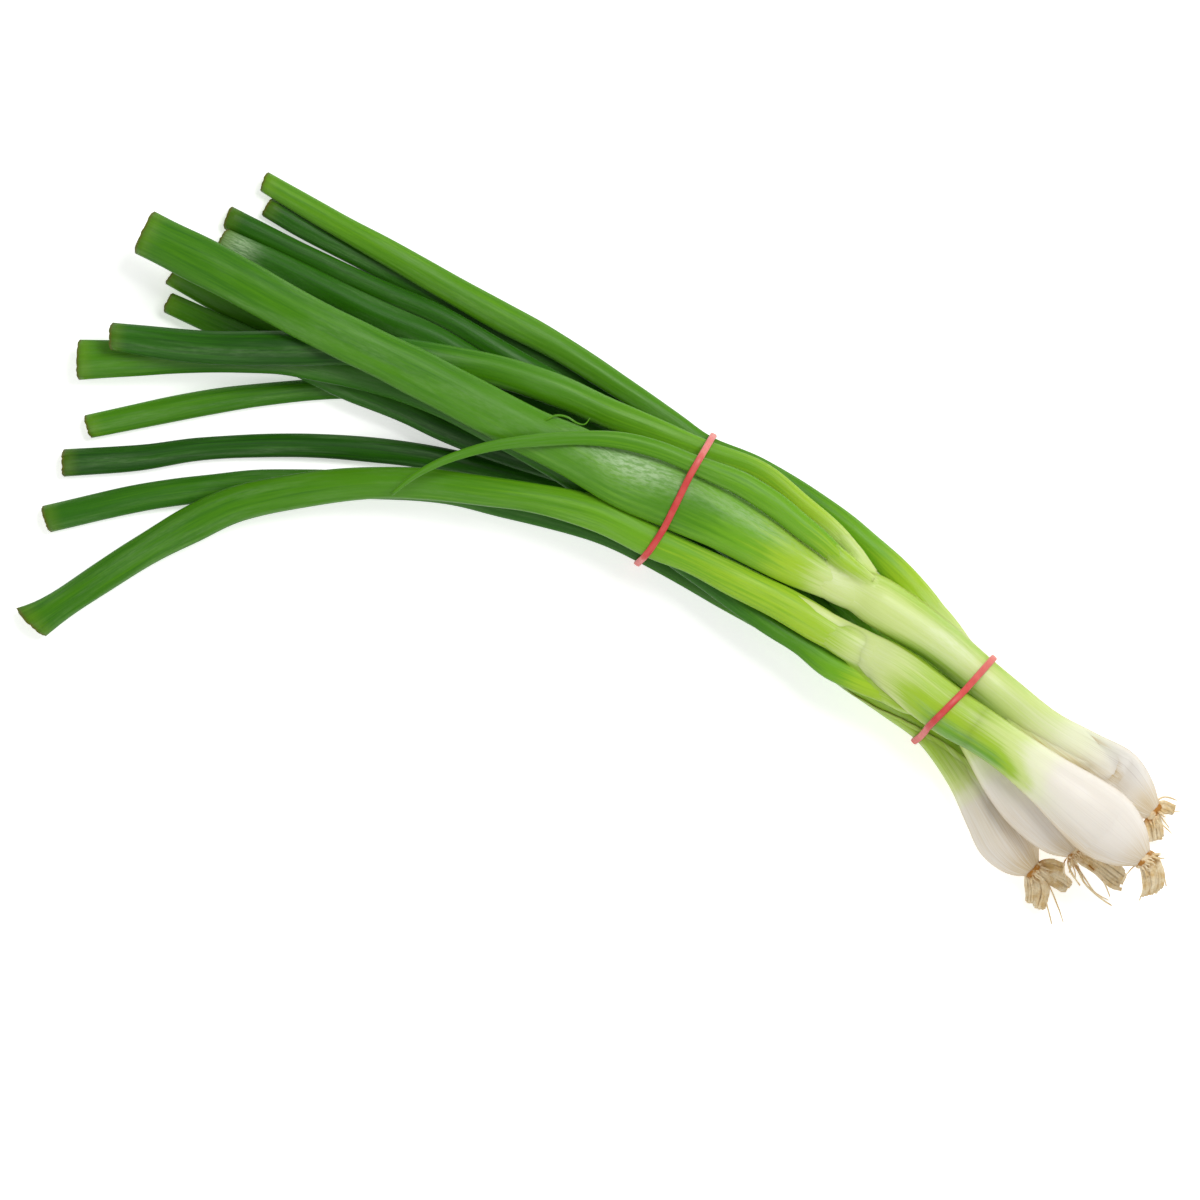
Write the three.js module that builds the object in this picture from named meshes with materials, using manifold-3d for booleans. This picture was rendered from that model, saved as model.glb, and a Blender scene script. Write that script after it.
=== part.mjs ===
// A bunch of four spring onions lying on a table, tied by two rubber bands.
//
// Millimetres, +Z up. The origin is on the table under the middle of the bunch, with the bulbs
// towards +X. Each onion is a bulb with its shaft, a root plate with roots, and its leaves.
// The shafts and leaves are strands: a plan route of [x, y, half width] points, and a height
// that comes from laying each strand over those already laid. Plan points are measured from
// the upper band's inner side, and planMiddle is the middle of the whole bunch among them.
import * as THREE from 'three';
import { mergeVertices } from 'three/addons/utils/BufferGeometryUtils.js';
import Module from 'manifold-3d';

const wasm = await Module();
wasm.setup();

// Driving dimensions
const planMiddle = { x: 3.66, y: 1.94 };
const strandGap = 0.45; // air left between strands that lie on each other
const bandWidth = 2.0; // rubber band, along the bunch
const bandThickness = 1.3;
const bandGap = 0.4; // air between a band and what it holds, and under it
const bandLift = bandThickness + 1.5 * bandGap; // what a band holds the strands off the table
const bandMargin = 8; // how far past its ends a band still lifts a strand
const bandReach = 0.62; // strands further from its middle aren't held, as a share of its length
const bulbSink = 0.4; // how far a bulb and a leaf are pressed flat where they lie on the table
const leafSink = 0.12;
const leafWall = 0.7;
const leafThinnest = 0.45; // least half thickness, at a young leaf's tip
const mouthDepth = 9; // how far the open end of a cut leaf is hollow
const leafSqueeze = { share: 0.22, reach: 22 }; // how much flatter leaves are by the upper band
const rootShare = 0.55; // how near the middle of its shaft a leaf starts, as a share

// How finely the solids are made
const bulbSides = 16;
const leafSides = 10;
const shaftStep = 5.5;
const leafStep = 10;
const bandSides = 6;
const bandStops = 44;
const bandCorners = 12;
const weld = 1e-4;

// How strands lie
const layStep = 3; // spacing of the samples that the laying works with
const shaftSag = 0.00002; // how much a strand droops between what carries it, per mm
const leafSag = 0.00035;
const endBend = 0.0012; // how fast a free leaf end bends down, per mm
const endSteepest = 0.1; // steepest fall of a leaf as it leaves what carries it
const touching = 0.02; // a strand this close to its lowest height is carried there
const plump = 0.9; // the part of a bulb over this share of its full width can carry it
const softenings = 4;

// The bands: two opposite points of each, seen from above
const bands = {
  upper: { from: [33, 32.5], to: [11, -4] },
  lower: { from: [112.5, -31.5], to: [89.5, -55.5] },
};

const finishes = {
  bulb: { color: 0xe9e8dc, roughness: 0.35 },
  leaf: { color: 0x3f7d28, roughness: 0.45 },
  root: { color: 0xc9b48c, roughness: 0.8 },
  band: { color: 0xe4605f, roughness: 0.5 },
};

// Strands in the order in which they are laid. A leaf grows out of its onion's shaft.
const strands = [
  {
    name: 'onion_a_bulb', round: 0.9, bulb: true,
    route: [[124.5, -91.5, 2.6], [121.5, -88.5, 6.2], [117, -82.5, 8.7], [112, -74.5, 7.8],
      [105, -64, 5.8], [95, -51, 5.3], [85, -43.5, 5.3], [75.5, -37, 5.3], [66.5, -31, 5.2],
      [60, -27, 4.2]],
  },
  {
    name: 'onion_b_bulb', round: 0.88, bulb: true,
    route: [[136, -86, 2.6], [132, -82, 6.2], [124.5, -73, 8.9], [117.5, -64.3, 8.6],
      [110.5, -54.8, 7], [102.5, -43.5, 6], [92, -34.5, 5.8], [81, -26.5, 5.8], [74, -21, 4.6]],
  },
  {
    name: 'onion_a_leaf_1', shaft: 'onion_a_bulb', flat: 0.6, slant: 5, rise: -1,
    route: [[66, -32.5, 2.2], [57.5, -26, 3], [43.5, -17.5, 3.4], [29, -9.5, 3.3],
      [13, -0.8, 3.1], [0.5, 5, 3.1], [-28, 13, 3.4], [-45, 17, 3.7], [-62.5, 18.5, 4],
      [-96.5, 19, 4], [-113.5, 17.5, 4], [-131, 15, 4], [-157.5, 9, 3.9]],
  },
  {
    name: 'onion_a_leaf_2', shaft: 'onion_a_bulb', flat: 0.6, slant: -4, rise: 0,
    route: [[67.5, -30, 2], [57.5, -20.5, 2.8], [43, -9.1, 3.4], [28, -0.4, 3.5],
      [16.6, 5.3, 3.1], [3.5, 11.5, 3.3], [-28, 22, 3.6], [-48, 26.5, 3.6], [-62.5, 28.5, 3.6],
      [-85, 30, 3.4], [-113.5, 29, 3.4], [-131, 26.5, 3.7], [-152.5, 25, 3.9]],
  },
  {
    name: 'onion_a_leaf_3', shaft: 'onion_a_bulb', flat: 0.6, slant: 6, rise: 0,
    route: [[69.5, -27.5, 2], [58, -14.5, 2.8], [43.5, -1.5, 3], [30.5, 6, 3],
      [19.9, 10.9, 3.1], [4, 19.5, 3.1], [-25, 34.5, 3.1], [-42.5, 41.5, 3.1], [-56.5, 45.5, 3.1],
      [-71, 46.5, 3.1], [-96.5, 44.5, 3.3], [-113.5, 42, 3.7], [-145.5, 35.5, 3.4]],
  },
  {
    name: 'onion_b_leaf_1', shaft: 'onion_b_bulb', flat: 0.6, slant: 0, rise: -1.5,
    route: [[82, -25, 2], [70, -12, 2.6], [57, 1.5, 2.8], [43, 15.5, 2.8], [30, 27.6, 2.9],
      [20.5, 34, 2.9], [6.5, 43, 3], [-28, 61.5, 3.1], [-61, 80.2, 3.1], [-83.8, 91.9, 3],
      [-94.2, 98, 3]],
  },
  {
    name: 'onion_b_leaf_2', shaft: 'onion_b_bulb', flat: 0.6, slant: 8, rise: -0.5,
    route: [[81, -27, 2], [69.5, -15.5, 2.6], [55, -3.5, 2.8], [41, 9, 2.9], [26.6, 22, 3.1],
      [6.5, 36.5, 3.1], [-28, 57, 3.1], [-45, 67, 3], [-62.7, 74.6, 3], [-85.2, 85.1, 3],
      [-105.5, 95, 3.5]],
  },
  {
    name: 'onion_b_leaf_3', shaft: 'onion_b_bulb', flat: 0.6, slant: -6, rise: 0,
    route: [[80, -29, 2], [68, -19, 2.6], [53, -7.5, 2.8], [38.5, 4, 3], [23.3, 16.4, 3.2],
      [6.5, 29, 3.2], [-28, 49.2, 3.7], [-45, 59.2, 4], [-65.2, 68.4, 4.2], [-86.1, 78.7, 4],
      [-107.2, 88.7, 3.5]],
  },
  {
    name: 'onion_b_leaf_4', shaft: 'onion_b_bulb', flat: 0.6, slant: -10, rise: 1.5,
    route: [[81, -26.5, 2.2], [69, -14.5, 2.6], [55, -1.5, 3], [40, 9.5, 3.2], [24.8, 19, 3.4],
      [3, 26.5, 3.4], [-16.5, 33, 3.4], [-43.5, 44, 3.4], [-56.5, 50, 3.4], [-76.5, 57.5, 4.1],
      [-99.5, 67.5, 4.2], [-121, 79, 3.8]],
  },
  {
    name: 'onion_a_leaf_4', shaft: 'onion_a_bulb', flat: 0.6, slant: 0, rise: 2,
    route: [[70, -28.5, 2.2], [59, -15, 2.8], [47, -5.6, 3.2], [35, 3.1, 3.4], [21.5, 13.4, 3.4],
      [3.5, 18.5, 3.4], [-28, 28.5, 3.6], [-44.5, 35, 3.7], [-55, 40, 3.7], [-71, 46.4, 3.8],
      [-85, 53, 3.7], [-102.5, 61.4, 3.4], [-122.5, 70.6, 3.1]],
  },
  {
    name: 'onion_d_bulb', round: 0.9, bulb: true,
    route: [[159, -75, 2.6], [155, -71.5, 6.2], [148, -65.5, 9.1], [139, -59, 7.6],
      [128, -51.5, 6.1], [117.5, -43, 5.9], [108.5, -35.5, 5.9], [97, -26, 6.4],
      [86.1, -18.6, 7.1], [75.4, -11.9, 7.1], [69.5, -8.4, 5.4]],
  },
  {
    name: 'onion_c_bulb', round: 0.88, bulb: true,
    route: [[155.5, -88, 2.8], [151.5, -84.5, 7.2], [144.5, -78.5, 10.2], [137, -72.5, 9.5],
      [127.5, -65, 7.6], [117, -57, 6.6], [110.5, -52.5, 6.6], [99, -45, 7], [86.5, -35.5, 7],
      [77.5, -30, 6.6], [71, -26, 5]],
  },
  {
    name: 'onion_d_leaf_1', shaft: 'onion_d_bulb', flat: 0.62, slant: 10, rise: -1,
    route: [[106, -29, 2.6], [93.3, -14.8, 3.8], [85.6, -6.4, 4], [77, 1.5, 3.8],
      [68.5, 8.9, 3.4], [46.7, 23.2, 3], [31, 30, 2.9], [21.5, 36.7, 3], [10.5, 44, 3.3],
      [-12.5, 58.7, 3.9], [-28, 67, 4.3], [-45, 76.5, 4.1], [-58.5, 84.3, 3.8], [-75, 93.5, 3.4],
      [-95, 105.2, 3]],
  },
  {
    name: 'onion_c_leaf_1', shaft: 'onion_c_bulb', flat: 0.5, slant: -3, rise: -2.5,
    route: [[96, -46, 3], [89.5, -43.5, 3.6], [83.4, -40.4, 3.9], [74.5, -37, 3.7],
      [65.9, -33, 3.6], [57.7, -27, 3], [49, -21.5, 3], [40, -15, 3.1], [30, -7.5, 3.3],
      [19.5, 0.5, 3.6], [10, 8.5, 3.9], [-1, 16.5, 4.1], [-11, 24, 4.3], [-28, 34, 4.6],
      [-45, 43, 4.9], [-61.5, 49, 5], [-78, 53, 5.1], [-91, 55.5, 5.3], [-113.5, 56, 5.3],
      [-131, 55, 5.3], [-148, 54.5, 5.7]],
  },
  {
    name: 'onion_d_leaf_2', shaft: 'onion_d_bulb', flat: 0.6, slant: 4, rise: -1,
    route: [[78.6, -6.8, 2.3], [69, 4.3, 2.5], [57.7, 13.9, 2.7], [46.5, 22.5, 2.9],
      [30.5, 28.5, 3], [16.5, 34, 3.6], [4.5, 38.5, 4.3], [-11.5, 45.5, 4.7], [-28.5, 51, 4.6],
      [-56.5, 56, 4.6], [-73.5, 57.5, 4.9], [-91, 57.5, 5.1], [-113.5, 58, 4.7],
      [-138.5, 61, 4.1]],
  },
  {
    name: 'onion_c_leaf_2', shaft: 'onion_c_bulb', flat: 0.62, slant: -12, rise: 1,
    route: [[80, -31.5, 5], [66.5, -23.5, 5.1], [52, -15, 4.9], [39, -8.5, 4.9],
      [27, -2.5, 4.4], [15.5, 2.5, 4.9], [0.5, 10, 5], [-16.5, 14.5, 4.3], [-33.5, 17, 4.4],
      [-51, 19, 4.6], [-68, 19, 4.6], [-85, 17, 5], [-104, 13, 5.3], [-117, 7, 5.3],
      [-130.5, -0.5, 4.6], [-141.5, -7.5, 4.4], [-153.5, -15.5, 4.4], [-161.5, -21, 5]],
  },
  {
    name: 'onion_d_leaf_3', shaft: 'onion_d_bulb', flat: 0.5, slant: 2, rise: 0,
    route: [[80, -14.5, 5], [72, -11.5, 5.4], [63.5, -7.5, 5.9], [56, -3.5, 6.8],
      [48, 1.2, 7.7], [37, 7.5, 8.3], [22.5, 14.5, 8.9], [4.5, 21.5, 8], [-7, 28, 7.6],
      [-19, 33.5, 7.1], [-30.5, 39.5, 6.9], [-53.5, 51.5, 6.6], [-82, 65.5, 6.6],
      [-105.5, 78.5, 6.6], [-129, 90.5, 6.7]],
  },
  {
    name: 'onion_d_leaf_4', shaft: 'onion_d_bulb', flat: 0.6, slant: 0, rise: 2, tip: true,
    route: [[78, -9, 2.4], [69, -2.3, 2.9], [63.4, 2.6, 3.2], [57.7, 7, 3.4], [52, 11.7, 3.5],
      [46.3, 15.6, 3.5], [40.6, 19, 3.4], [32, 22.6, 3], [26.3, 24.9, 2.7], [17.7, 28.4, 2.6],
      [6.3, 31.2, 2.5], [-5.1, 31.9, 2.1], [-16.6, 31.3, 1.9], [-28, 30, 1.6], [-36.6, 28, 1.4],
      [-45, 25, 1.2], [-52.5, 21, 0.9], [-59, 15.8, 0.5]],
  },
];

// Root plates: each is a low disc just off the bulb's foot, its rims as [radius share, height]
const plate = { proud: 0.7, sides: 10, start: 0.35, rims: [[0.85, 0], [1, 0.8], [0.6, 1.6]] };

// Root threads: oval, thinner to the end, and each bends a little and droops
const thread = {
  radius: 0.75, flatness: 1.2, taper: 0.45, droop: 0.35, bend: 0.5, sides: 4, stops: 3,
  foot: 0.5, // where a thread starts: this far out in mm, and at this share of the plate's radius
  straightest: 0.35, // the least spread of a thread, as a share of the bunch's
};

// Root bunches: how many threads, how far they spread from the bulb's axis, how they turn
// sideways, and how long they are
const roots = {
  onion_a: { count: 9, spread: 38, turn: -6, length: [7, 17], seed: 11 },
  onion_b: { count: 10, spread: 30, turn: 22, length: [9, 18], seed: 23 },
  onion_c: { count: 9, spread: 34, turn: -28, length: [7, 14], seed: 37 },
  onion_d: { count: 8, spread: 42, turn: 8, length: [6, 11], seed: 51 },
};

const radians = THREE.MathUtils.degToRad;

// A repeatable random draw between 0 and 1
function randomFrom(seed) {
  let state = seed;
  return () => {
    state = (state * 16807) % 2147483647;
    return state / 2147483647;
  };
}

// The plan route as evenly spaced samples { x, y, half }
function sampleRoute(route, step) {
  const curve = new THREE.CatmullRomCurve3(route.map(([x, y, half]) => new THREE.Vector3(x, y, half)));
  const pieces = Math.max(2, Math.round(curve.getLength() / step));
  return curve.getSpacedPoints(pieces).map((p) => ({ x: p.x, y: p.y, half: p.z }));
}

// Distance of a plan point from a band's line, and whether it is over the band's length
function bandDistance(band, x, y) {
  const [ax, ay] = band.from;
  const [bx, by] = band.to;
  const length = Math.hypot(bx - ax, by - ay);
  const along = ((x - ax) * (bx - ax) + (y - ay) * (by - ay)) / length;
  const across = Math.abs((x - ax) * (by - ay) - (y - ay) * (bx - ax)) / length;
  return { across, inside: along > -bandMargin && along < length + bandMargin };
}

// Half the thickness of a strand at a sample: leaves are squeezed flatter under the upper band
function halfThickness(strand, sample) {
  if (strand.bulb) {
    return sample.half * strand.round;
  }
  const far = bandDistance(bands.upper, sample.x, sample.y).across / leafSqueeze.reach;
  const squeeze = 1 - leafSqueeze.share * Math.exp(-far * far);
  return Math.max(leafThinnest, sample.half * strand.flat * squeeze);
}

function tableHeight(strand, x, y) {
  const onBand = Object.values(bands).some((band) => {
    const { across, inside } = bandDistance(band, x, y);
    return inside && across < layStep;
  });
  if (onBand) {
    return bandLift;
  }
  return strand.bulb ? -bulbSink : -leafSink;
}

// The height of a laid strand's middle where it passes closest to a plan point
function nearestOn(laid, x, y) {
  return laid.samples.reduce((best, sample) => {
    const distance = Math.hypot(x - sample.x, y - sample.y);
    return distance < best.distance ? { distance, half: sample.half, z: sample.z } : best;
  }, { distance: Infinity });
}

// How high a sample has to be to clear a laid strand
function clearHeight(laid, sample) {
  return laid.samples.reduce((height, under) => {
    const reach = under.half + sample.half + strandGap;
    const share = Math.hypot(sample.x - under.x, sample.y - under.y) / reach;
    if (share >= 1) {
      return height;
    }
    const rise = (under.thick + sample.thick + strandGap) * Math.sqrt(1 - share * share);
    return Math.max(height, under.z + rise);
  }, -Infinity);
}

// A taut, slightly drooping line over a row of lowest heights: its upper hull
function drape(lowest, sag) {
  const last = lowest.length - 1;
  const lifted = lowest.map((z, i) => z - sag * (i * layStep) ** 2);
  const hull = [];
  lifted.forEach((z, i) => {
    while (hull.length > 1) {
      const p = hull[hull.length - 2];
      const q = hull[hull.length - 1];
      if ((lifted[q] - lifted[p]) * (i - p) > (z - lifted[p]) * (q - p)) {
        break;
      }
      hull.pop();
    }
    hull.push(i);
  });
  const heights = [];
  for (let k = 0; k + 1 < hull.length; k++) {
    const [p, q] = [hull[k], hull[k + 1]];
    for (let i = p; i <= q; i++) {
      const t = (i - p) / (q - p);
      heights[i] = lifted[p] + (lifted[q] - lifted[p]) * t + sag * (i * layStep) ** 2;
    }
  }
  return heights;
}

function smoothed(values) {
  return values.map((value, i) => {
    const before = values[Math.max(0, i - 1)];
    const after = values[Math.min(values.length - 1, i + 1)];
    return (before + 2 * value + after) / 4;
  });
}

// A bulb is stiff, so it runs on level from its widest place to its roots, at the height of
// what carries it. Gives that widest place.
function levelBulb(samples, lowest, heights) {
  const widest = samples.reduce((best, { half }, i) => (half > samples[best].half ? i : best), 0);
  let carried = widest;
  for (let i = widest; samples[i].half > samples[widest].half * plump; i--) {
    if (heights[i] - lowest[i] < heights[carried] - lowest[carried]) {
      carried = i;
    }
  }
  heights.fill(heights[carried], 0, widest + 1);
  return widest;
}

// A leaf's free end runs on past the last thing that carries it, and only slowly bends down
function stiffenEnd(lowest, heights) {
  const steepest = -endSteepest * layStep;
  let carried = heights.length - 2;
  while (carried > 1) {
    const slope = heights[carried] - heights[carried - 1];
    if (heights[carried] < lowest[carried] + touching && slope > steepest) {
      break;
    }
    carried -= 1;
  }
  for (let i = Math.max(carried, 1); i + 1 < heights.length; i++) {
    const ahead = 2 * heights[i] - heights[i - 1] - endBend * layStep * layStep;
    heights[i + 1] = Math.max(heights[i + 1], ahead);
  }
}

// Gives each sample of a strand its height over the table and the strands already laid
function layStrand(strand, laid) {
  const samples = sampleRoute(strand.route, layStep);
  const own = laid.find((other) => other.strand.name === strand.shaft);
  const lowest = samples.map((sample, i) => {
    sample.thick = halfThickness(strand, sample);
    if (own) {
      const root = nearestOn(own, sample.x, sample.y);
      if (root.distance < root.half * rootShare || i === 0) {
        return root.z + strand.rise;
      }
    }
    let z = tableHeight(strand, sample.x, sample.y) + sample.thick;
    for (const other of laid) {
      if (other !== own) {
        z = Math.max(z, clearHeight(other, sample));
      }
    }
    return z;
  });
  let heights = drape(lowest, strand.bulb ? shaftSag : leafSag);
  let settled = -1;
  if (strand.bulb) {
    settled = levelBulb(samples, lowest, heights);
  } else {
    stiffenEnd(lowest, heights);
  }
  for (let pass = 0; pass < softenings; pass++) {
    const softer = smoothed(heights);
    heights = heights.map((z, i) => (i <= settled ? z : Math.max(softer[i], lowest[i])));
  }
  samples.forEach((sample, i) => {
    sample.z = heights[i];
  });
  laid.push({ strand, samples });
}

// A closed body through rings of equal length, with a flat fan at each end
function loftRings(rings) {
  const sides = rings[0].length;
  const positions = rings.flat().flatMap((p) => [p.x, p.y, p.z]);
  const index = [];
  for (let r = 0; r + 1 < rings.length; r++) {
    for (let s = 0; s < sides; s++) {
      const a = r * sides + s;
      const b = r * sides + ((s + 1) % sides);
      index.push(a, b, b + sides, a, b + sides, a + sides);
    }
  }
  const lastRing = (rings.length - 1) * sides;
  for (let s = 1; s + 1 < sides; s++) {
    index.push(0, s + 1, s);
    index.push(lastRing, lastRing + s, lastRing + s + 1);
  }
  const geometry = new THREE.BufferGeometry();
  geometry.setAttribute('position', new THREE.Float32BufferAttribute(positions, 3));
  geometry.setIndex(index);
  return geometry;
}

function frameAt(samples, i) {
  const a = samples[Math.max(0, i - 1)];
  const b = samples[Math.min(samples.length - 1, i + 1)];
  const along = new THREE.Vector3(b.x - a.x, b.y - a.y, b.z - a.z).normalize();
  const side = new THREE.Vector3(0, 0, 1).cross(along).normalize();
  const up = along.clone().cross(side);
  return { along, side, up };
}

// One oval ring of a strand. A slant pushes the ring's sides along the strand.
function ringAt(samples, i, sides, { inset = 0, back = 0, slant = 0, grow = 0 } = {}) {
  const { x, y, z, half, thick } = samples[i];
  const { along, side, up } = frameAt(samples, i);
  const ring = [];
  for (let s = 0; s < sides; s++) {
    const angle = ((s + 0.5) / sides) * Math.PI * 2;
    const across = Math.sin(angle) * (half - inset + grow);
    const rise = Math.cos(angle) * (thick - inset + grow);
    const p = new THREE.Vector3(x, y, z).addScaledVector(side, -across).addScaledVector(up, rise);
    p.addScaledVector(along, across * Math.tan(radians(slant)) - back);
    p.z = Math.max(p.z, -grow);
    ring.push(p);
  }
  return ring;
}

// Laid samples thinned out to the spacing that the solid is built with
function thinned(samples, step) {
  const pieces = Math.max(3, Math.round(((samples.length - 1) * layStep) / step));
  return Array.from({ length: pieces + 1 }, (_, i) => {
    const place = (i / pieces) * (samples.length - 1);
    const low = Math.min(Math.floor(place), samples.length - 2);
    const t = place - low;
    const mixed = {};
    for (const key of ['x', 'y', 'z', 'half', 'thick']) {
      mixed[key] = samples[low][key] * (1 - t) + samples[low + 1][key] * t;
    }
    return mixed;
  });
}

function shaftGeometry({ samples }, grow = 0) {
  const places = thinned(samples, shaftStep);
  return loftRings(places.map((_, i) => ringAt(places, i, bulbSides, { grow })));
}

// A leaf is solid except for the mouth at its cut end. A young leaf has a closed tip.
function leafGeometry({ strand, samples }) {
  const places = thinned(samples, leafStep);
  const end = places.length - 1;
  const slant = (i) => ({ slant: i === end ? strand.slant : 0 });
  const rings = places.map((_, i) => ringAt(places, i, leafSides, slant(i)));
  if (!strand.tip) {
    rings.push(ringAt(places, end, leafSides, { inset: leafWall, slant: strand.slant }));
    rings.push(ringAt(places, end, leafSides, { inset: leafWall, back: mouthDepth }));
  }
  return loftRings(rings);
}

function toSolid(geometry) {
  const merged = mergeVertices(geometry, weld);
  return new wasm.Manifold(new wasm.Mesh({
    numProp: 3,
    vertProperties: new Float32Array(merged.attributes.position.array),
    triVerts: new Uint32Array(merged.index.array),
  }));
}

function fromSolid(solid) {
  const mesh = solid.getMesh();
  const geometry = new THREE.BufferGeometry();
  geometry.setAttribute('position', new THREE.Float32BufferAttribute(mesh.vertProperties, 3));
  geometry.setIndex(Array.from(mesh.triVerts));
  return geometry;
}

// The largest loose piece of a solid
function largest(solid) {
  return solid.decompose().reduce((a, b) => (a.volume() > b.volume() ? a : b));
}

// Outline round a set of flat points, anticlockwise
function outlineOf(points) {
  const sorted = [...points].sort((a, b) => a.x - b.x || a.y - b.y);
  const turn = (a, b, c) => (b.x - a.x) * (c.y - a.y) - (b.y - a.y) * (c.x - a.x);
  const half = (list) => {
    const chain = [];
    for (const p of list) {
      while (chain.length > 1 && turn(chain[chain.length - 2], chain[chain.length - 1], p) <= 0) {
        chain.pop();
      }
      chain.push(p);
    }
    return chain.slice(0, -1);
  };
  return [...half(sorted), ...half(sorted.reverse())];
}

// A rubber band hugs everything that passes through its plane
function bandGeometry(band, laid) {
  const from = new THREE.Vector2(...band.from);
  const to = new THREE.Vector2(...band.to);
  const middle = from.clone().lerp(to, 0.5);
  const across = to.clone().sub(from).normalize();
  const through = new THREE.Vector2(-across.y, across.x);
  const reach = from.distanceTo(to) * bandReach;
  const away = bandGap + bandThickness / 2;
  const points = [];
  for (const { strand, samples } of laid) {
    for (let i = 0; i < samples.length; i++) {
      const place = new THREE.Vector2(samples[i].x, samples[i].y).sub(middle);
      if (Math.abs(place.dot(through)) > layStep || Math.abs(place.dot(across)) > reach) {
        continue;
      }
      for (const p of ringAt(samples, i, strand.bulb ? bulbSides : leafSides)) {
        const u = new THREE.Vector2(p.x, p.y).sub(middle).dot(across);
        for (let corner = 0; corner < bandCorners; corner++) {
          const angle = (corner / bandCorners) * Math.PI * 2;
          points.push(new THREE.Vector2(u + Math.cos(angle) * away, p.z + Math.sin(angle) * away));
        }
      }
    }
  }
  const loop = outlineOf(points).map((p) => new THREE.Vector3(p.x, p.y, 0));
  const curve = new THREE.CatmullRomCurve3(loop, true, 'chordal');
  const rings = [];
  for (let i = 0; i < bandStops; i++) {
    const p = curve.getPointAt(i / bandStops);
    const t = curve.getTangentAt(i / bandStops);
    const out = new THREE.Vector2(t.y, -t.x);
    const ring = [];
    for (let s = 0; s < bandSides; s++) {
      const angle = (-s / bandSides) * Math.PI * 2;
      const u = p.x + out.x * Math.sin(angle) * (bandThickness / 2);
      const z = p.y + out.y * Math.sin(angle) * (bandThickness / 2);
      const w = Math.cos(angle) * (bandWidth / 2);
      const plan = middle.clone().addScaledVector(across, u).addScaledVector(through, w);
      ring.push(new THREE.Vector3(plan.x, plan.y, Math.max(z, 0)));
    }
    rings.push(ring);
  }
  const geometry = loftRings([...rings, rings[0]]);
  // A loop has no end fans: drop the triangles that closed the two ends
  const wallIndices = bandStops * bandSides * 6;
  geometry.setIndex(Array.from(geometry.index.array).slice(0, wallIndices));
  return mergeVertices(geometry, weld);
}

// A root plate with root threads that fan out of it and droop
function rootsGeometry(name, laid) {
  const { count, spread, turn, length, seed } = roots[name];
  const random = randomFrom(seed);
  const { samples } = laid.find(({ strand }) => strand.name === `${name}_bulb`);
  const { along, side, up } = frameAt(samples, 0);
  const out = along.clone().negate();
  const foot = new THREE.Vector3(samples[0].x, samples[0].y, samples[0].z);
  const plateRadius = samples[0].half + plate.proud;
  const rims = plate.rims.map(([share, height]) => {
    const ring = [];
    for (let s = 0; s < plate.sides; s++) {
      const angle = (s / plate.sides) * Math.PI * 2;
      const p = foot.clone().addScaledVector(out, plate.start + height);
      p.addScaledVector(side, Math.sin(angle) * plateRadius * share);
      p.addScaledVector(up, Math.cos(angle) * plateRadius * share);
      p.z = Math.max(p.z, 0);
      ring.push(p);
    }
    return ring;
  });
  let solid = toSolid(loftRings(rims));
  for (let k = 0; k < count; k++) {
    const around = ((k + 0.7 * random()) / count) * Math.PI * 2;
    const lean = radians(spread * THREE.MathUtils.lerp(thread.straightest, 1, random()));
    const reach = THREE.MathUtils.lerp(length[0], length[1], random());
    const radial = side.clone().multiplyScalar(Math.cos(around)).addScaledVector(up, Math.sin(around));
    const heading = out.clone().multiplyScalar(Math.cos(lean)).addScaledVector(radial, Math.sin(lean));
    heading.addScaledVector(side, Math.sin(radians(turn))).normalize();
    const bend = side.clone().multiplyScalar(random() - 0.5);
    const base = foot.clone().addScaledVector(out, plate.start + thread.foot);
    base.addScaledVector(radial, plateRadius * thread.foot);
    const places = [];
    for (let i = 0; i <= thread.stops; i++) {
      const t = i / thread.stops;
      const p = base.clone().addScaledVector(heading, reach * t);
      p.addScaledVector(bend, reach * thread.bend * t * t);
      const thick = thread.radius * (1 - thread.taper * t);
      p.z = Math.max(p.z - reach * thread.droop * t * t, thick);
      places.push({ x: p.x, y: p.y, z: p.z, half: thick * thread.flatness, thick });
    }
    solid = solid.add(toSolid(loftRings(places.map((_, i) => ringAt(places, i, thread.sides)))));
  }
  return fromSolid(largest(solid));
}

function makeMesh(name, geometry, finish) {
  geometry.translate(-planMiddle.x, -planMiddle.y, 0);
  const mesh = new THREE.Mesh(geometry, new THREE.MeshStandardMaterial({ ...finish, metalness: 0 }));
  mesh.name = name;
  return mesh;
}

const laid = [];
for (const strand of strands) {
  layStrand(strand, laid);
}

const bunch = new THREE.Group();
for (const item of laid) {
  const { strand } = item;
  if (strand.bulb) {
    bunch.add(makeMesh(strand.name, shaftGeometry(item), finishes.bulb));
    continue;
  }
  const shaft = laid.find((other) => other.strand.name === strand.shaft);
  const room = toSolid(shaftGeometry(shaft, strandGap));
  const leaf = largest(toSolid(leafGeometry(item)).subtract(room));
  bunch.add(makeMesh(strand.name, fromSolid(leaf), finishes.leaf));
}
for (const name of Object.keys(roots)) {
  bunch.add(makeMesh(`${name}_roots`, rootsGeometry(name, laid), finishes.root));
}
for (const [name, band] of Object.entries(bands)) {
  bunch.add(makeMesh(`band_${name}`, bandGeometry(band, laid), finishes.band));
}

export default bunch;
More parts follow.
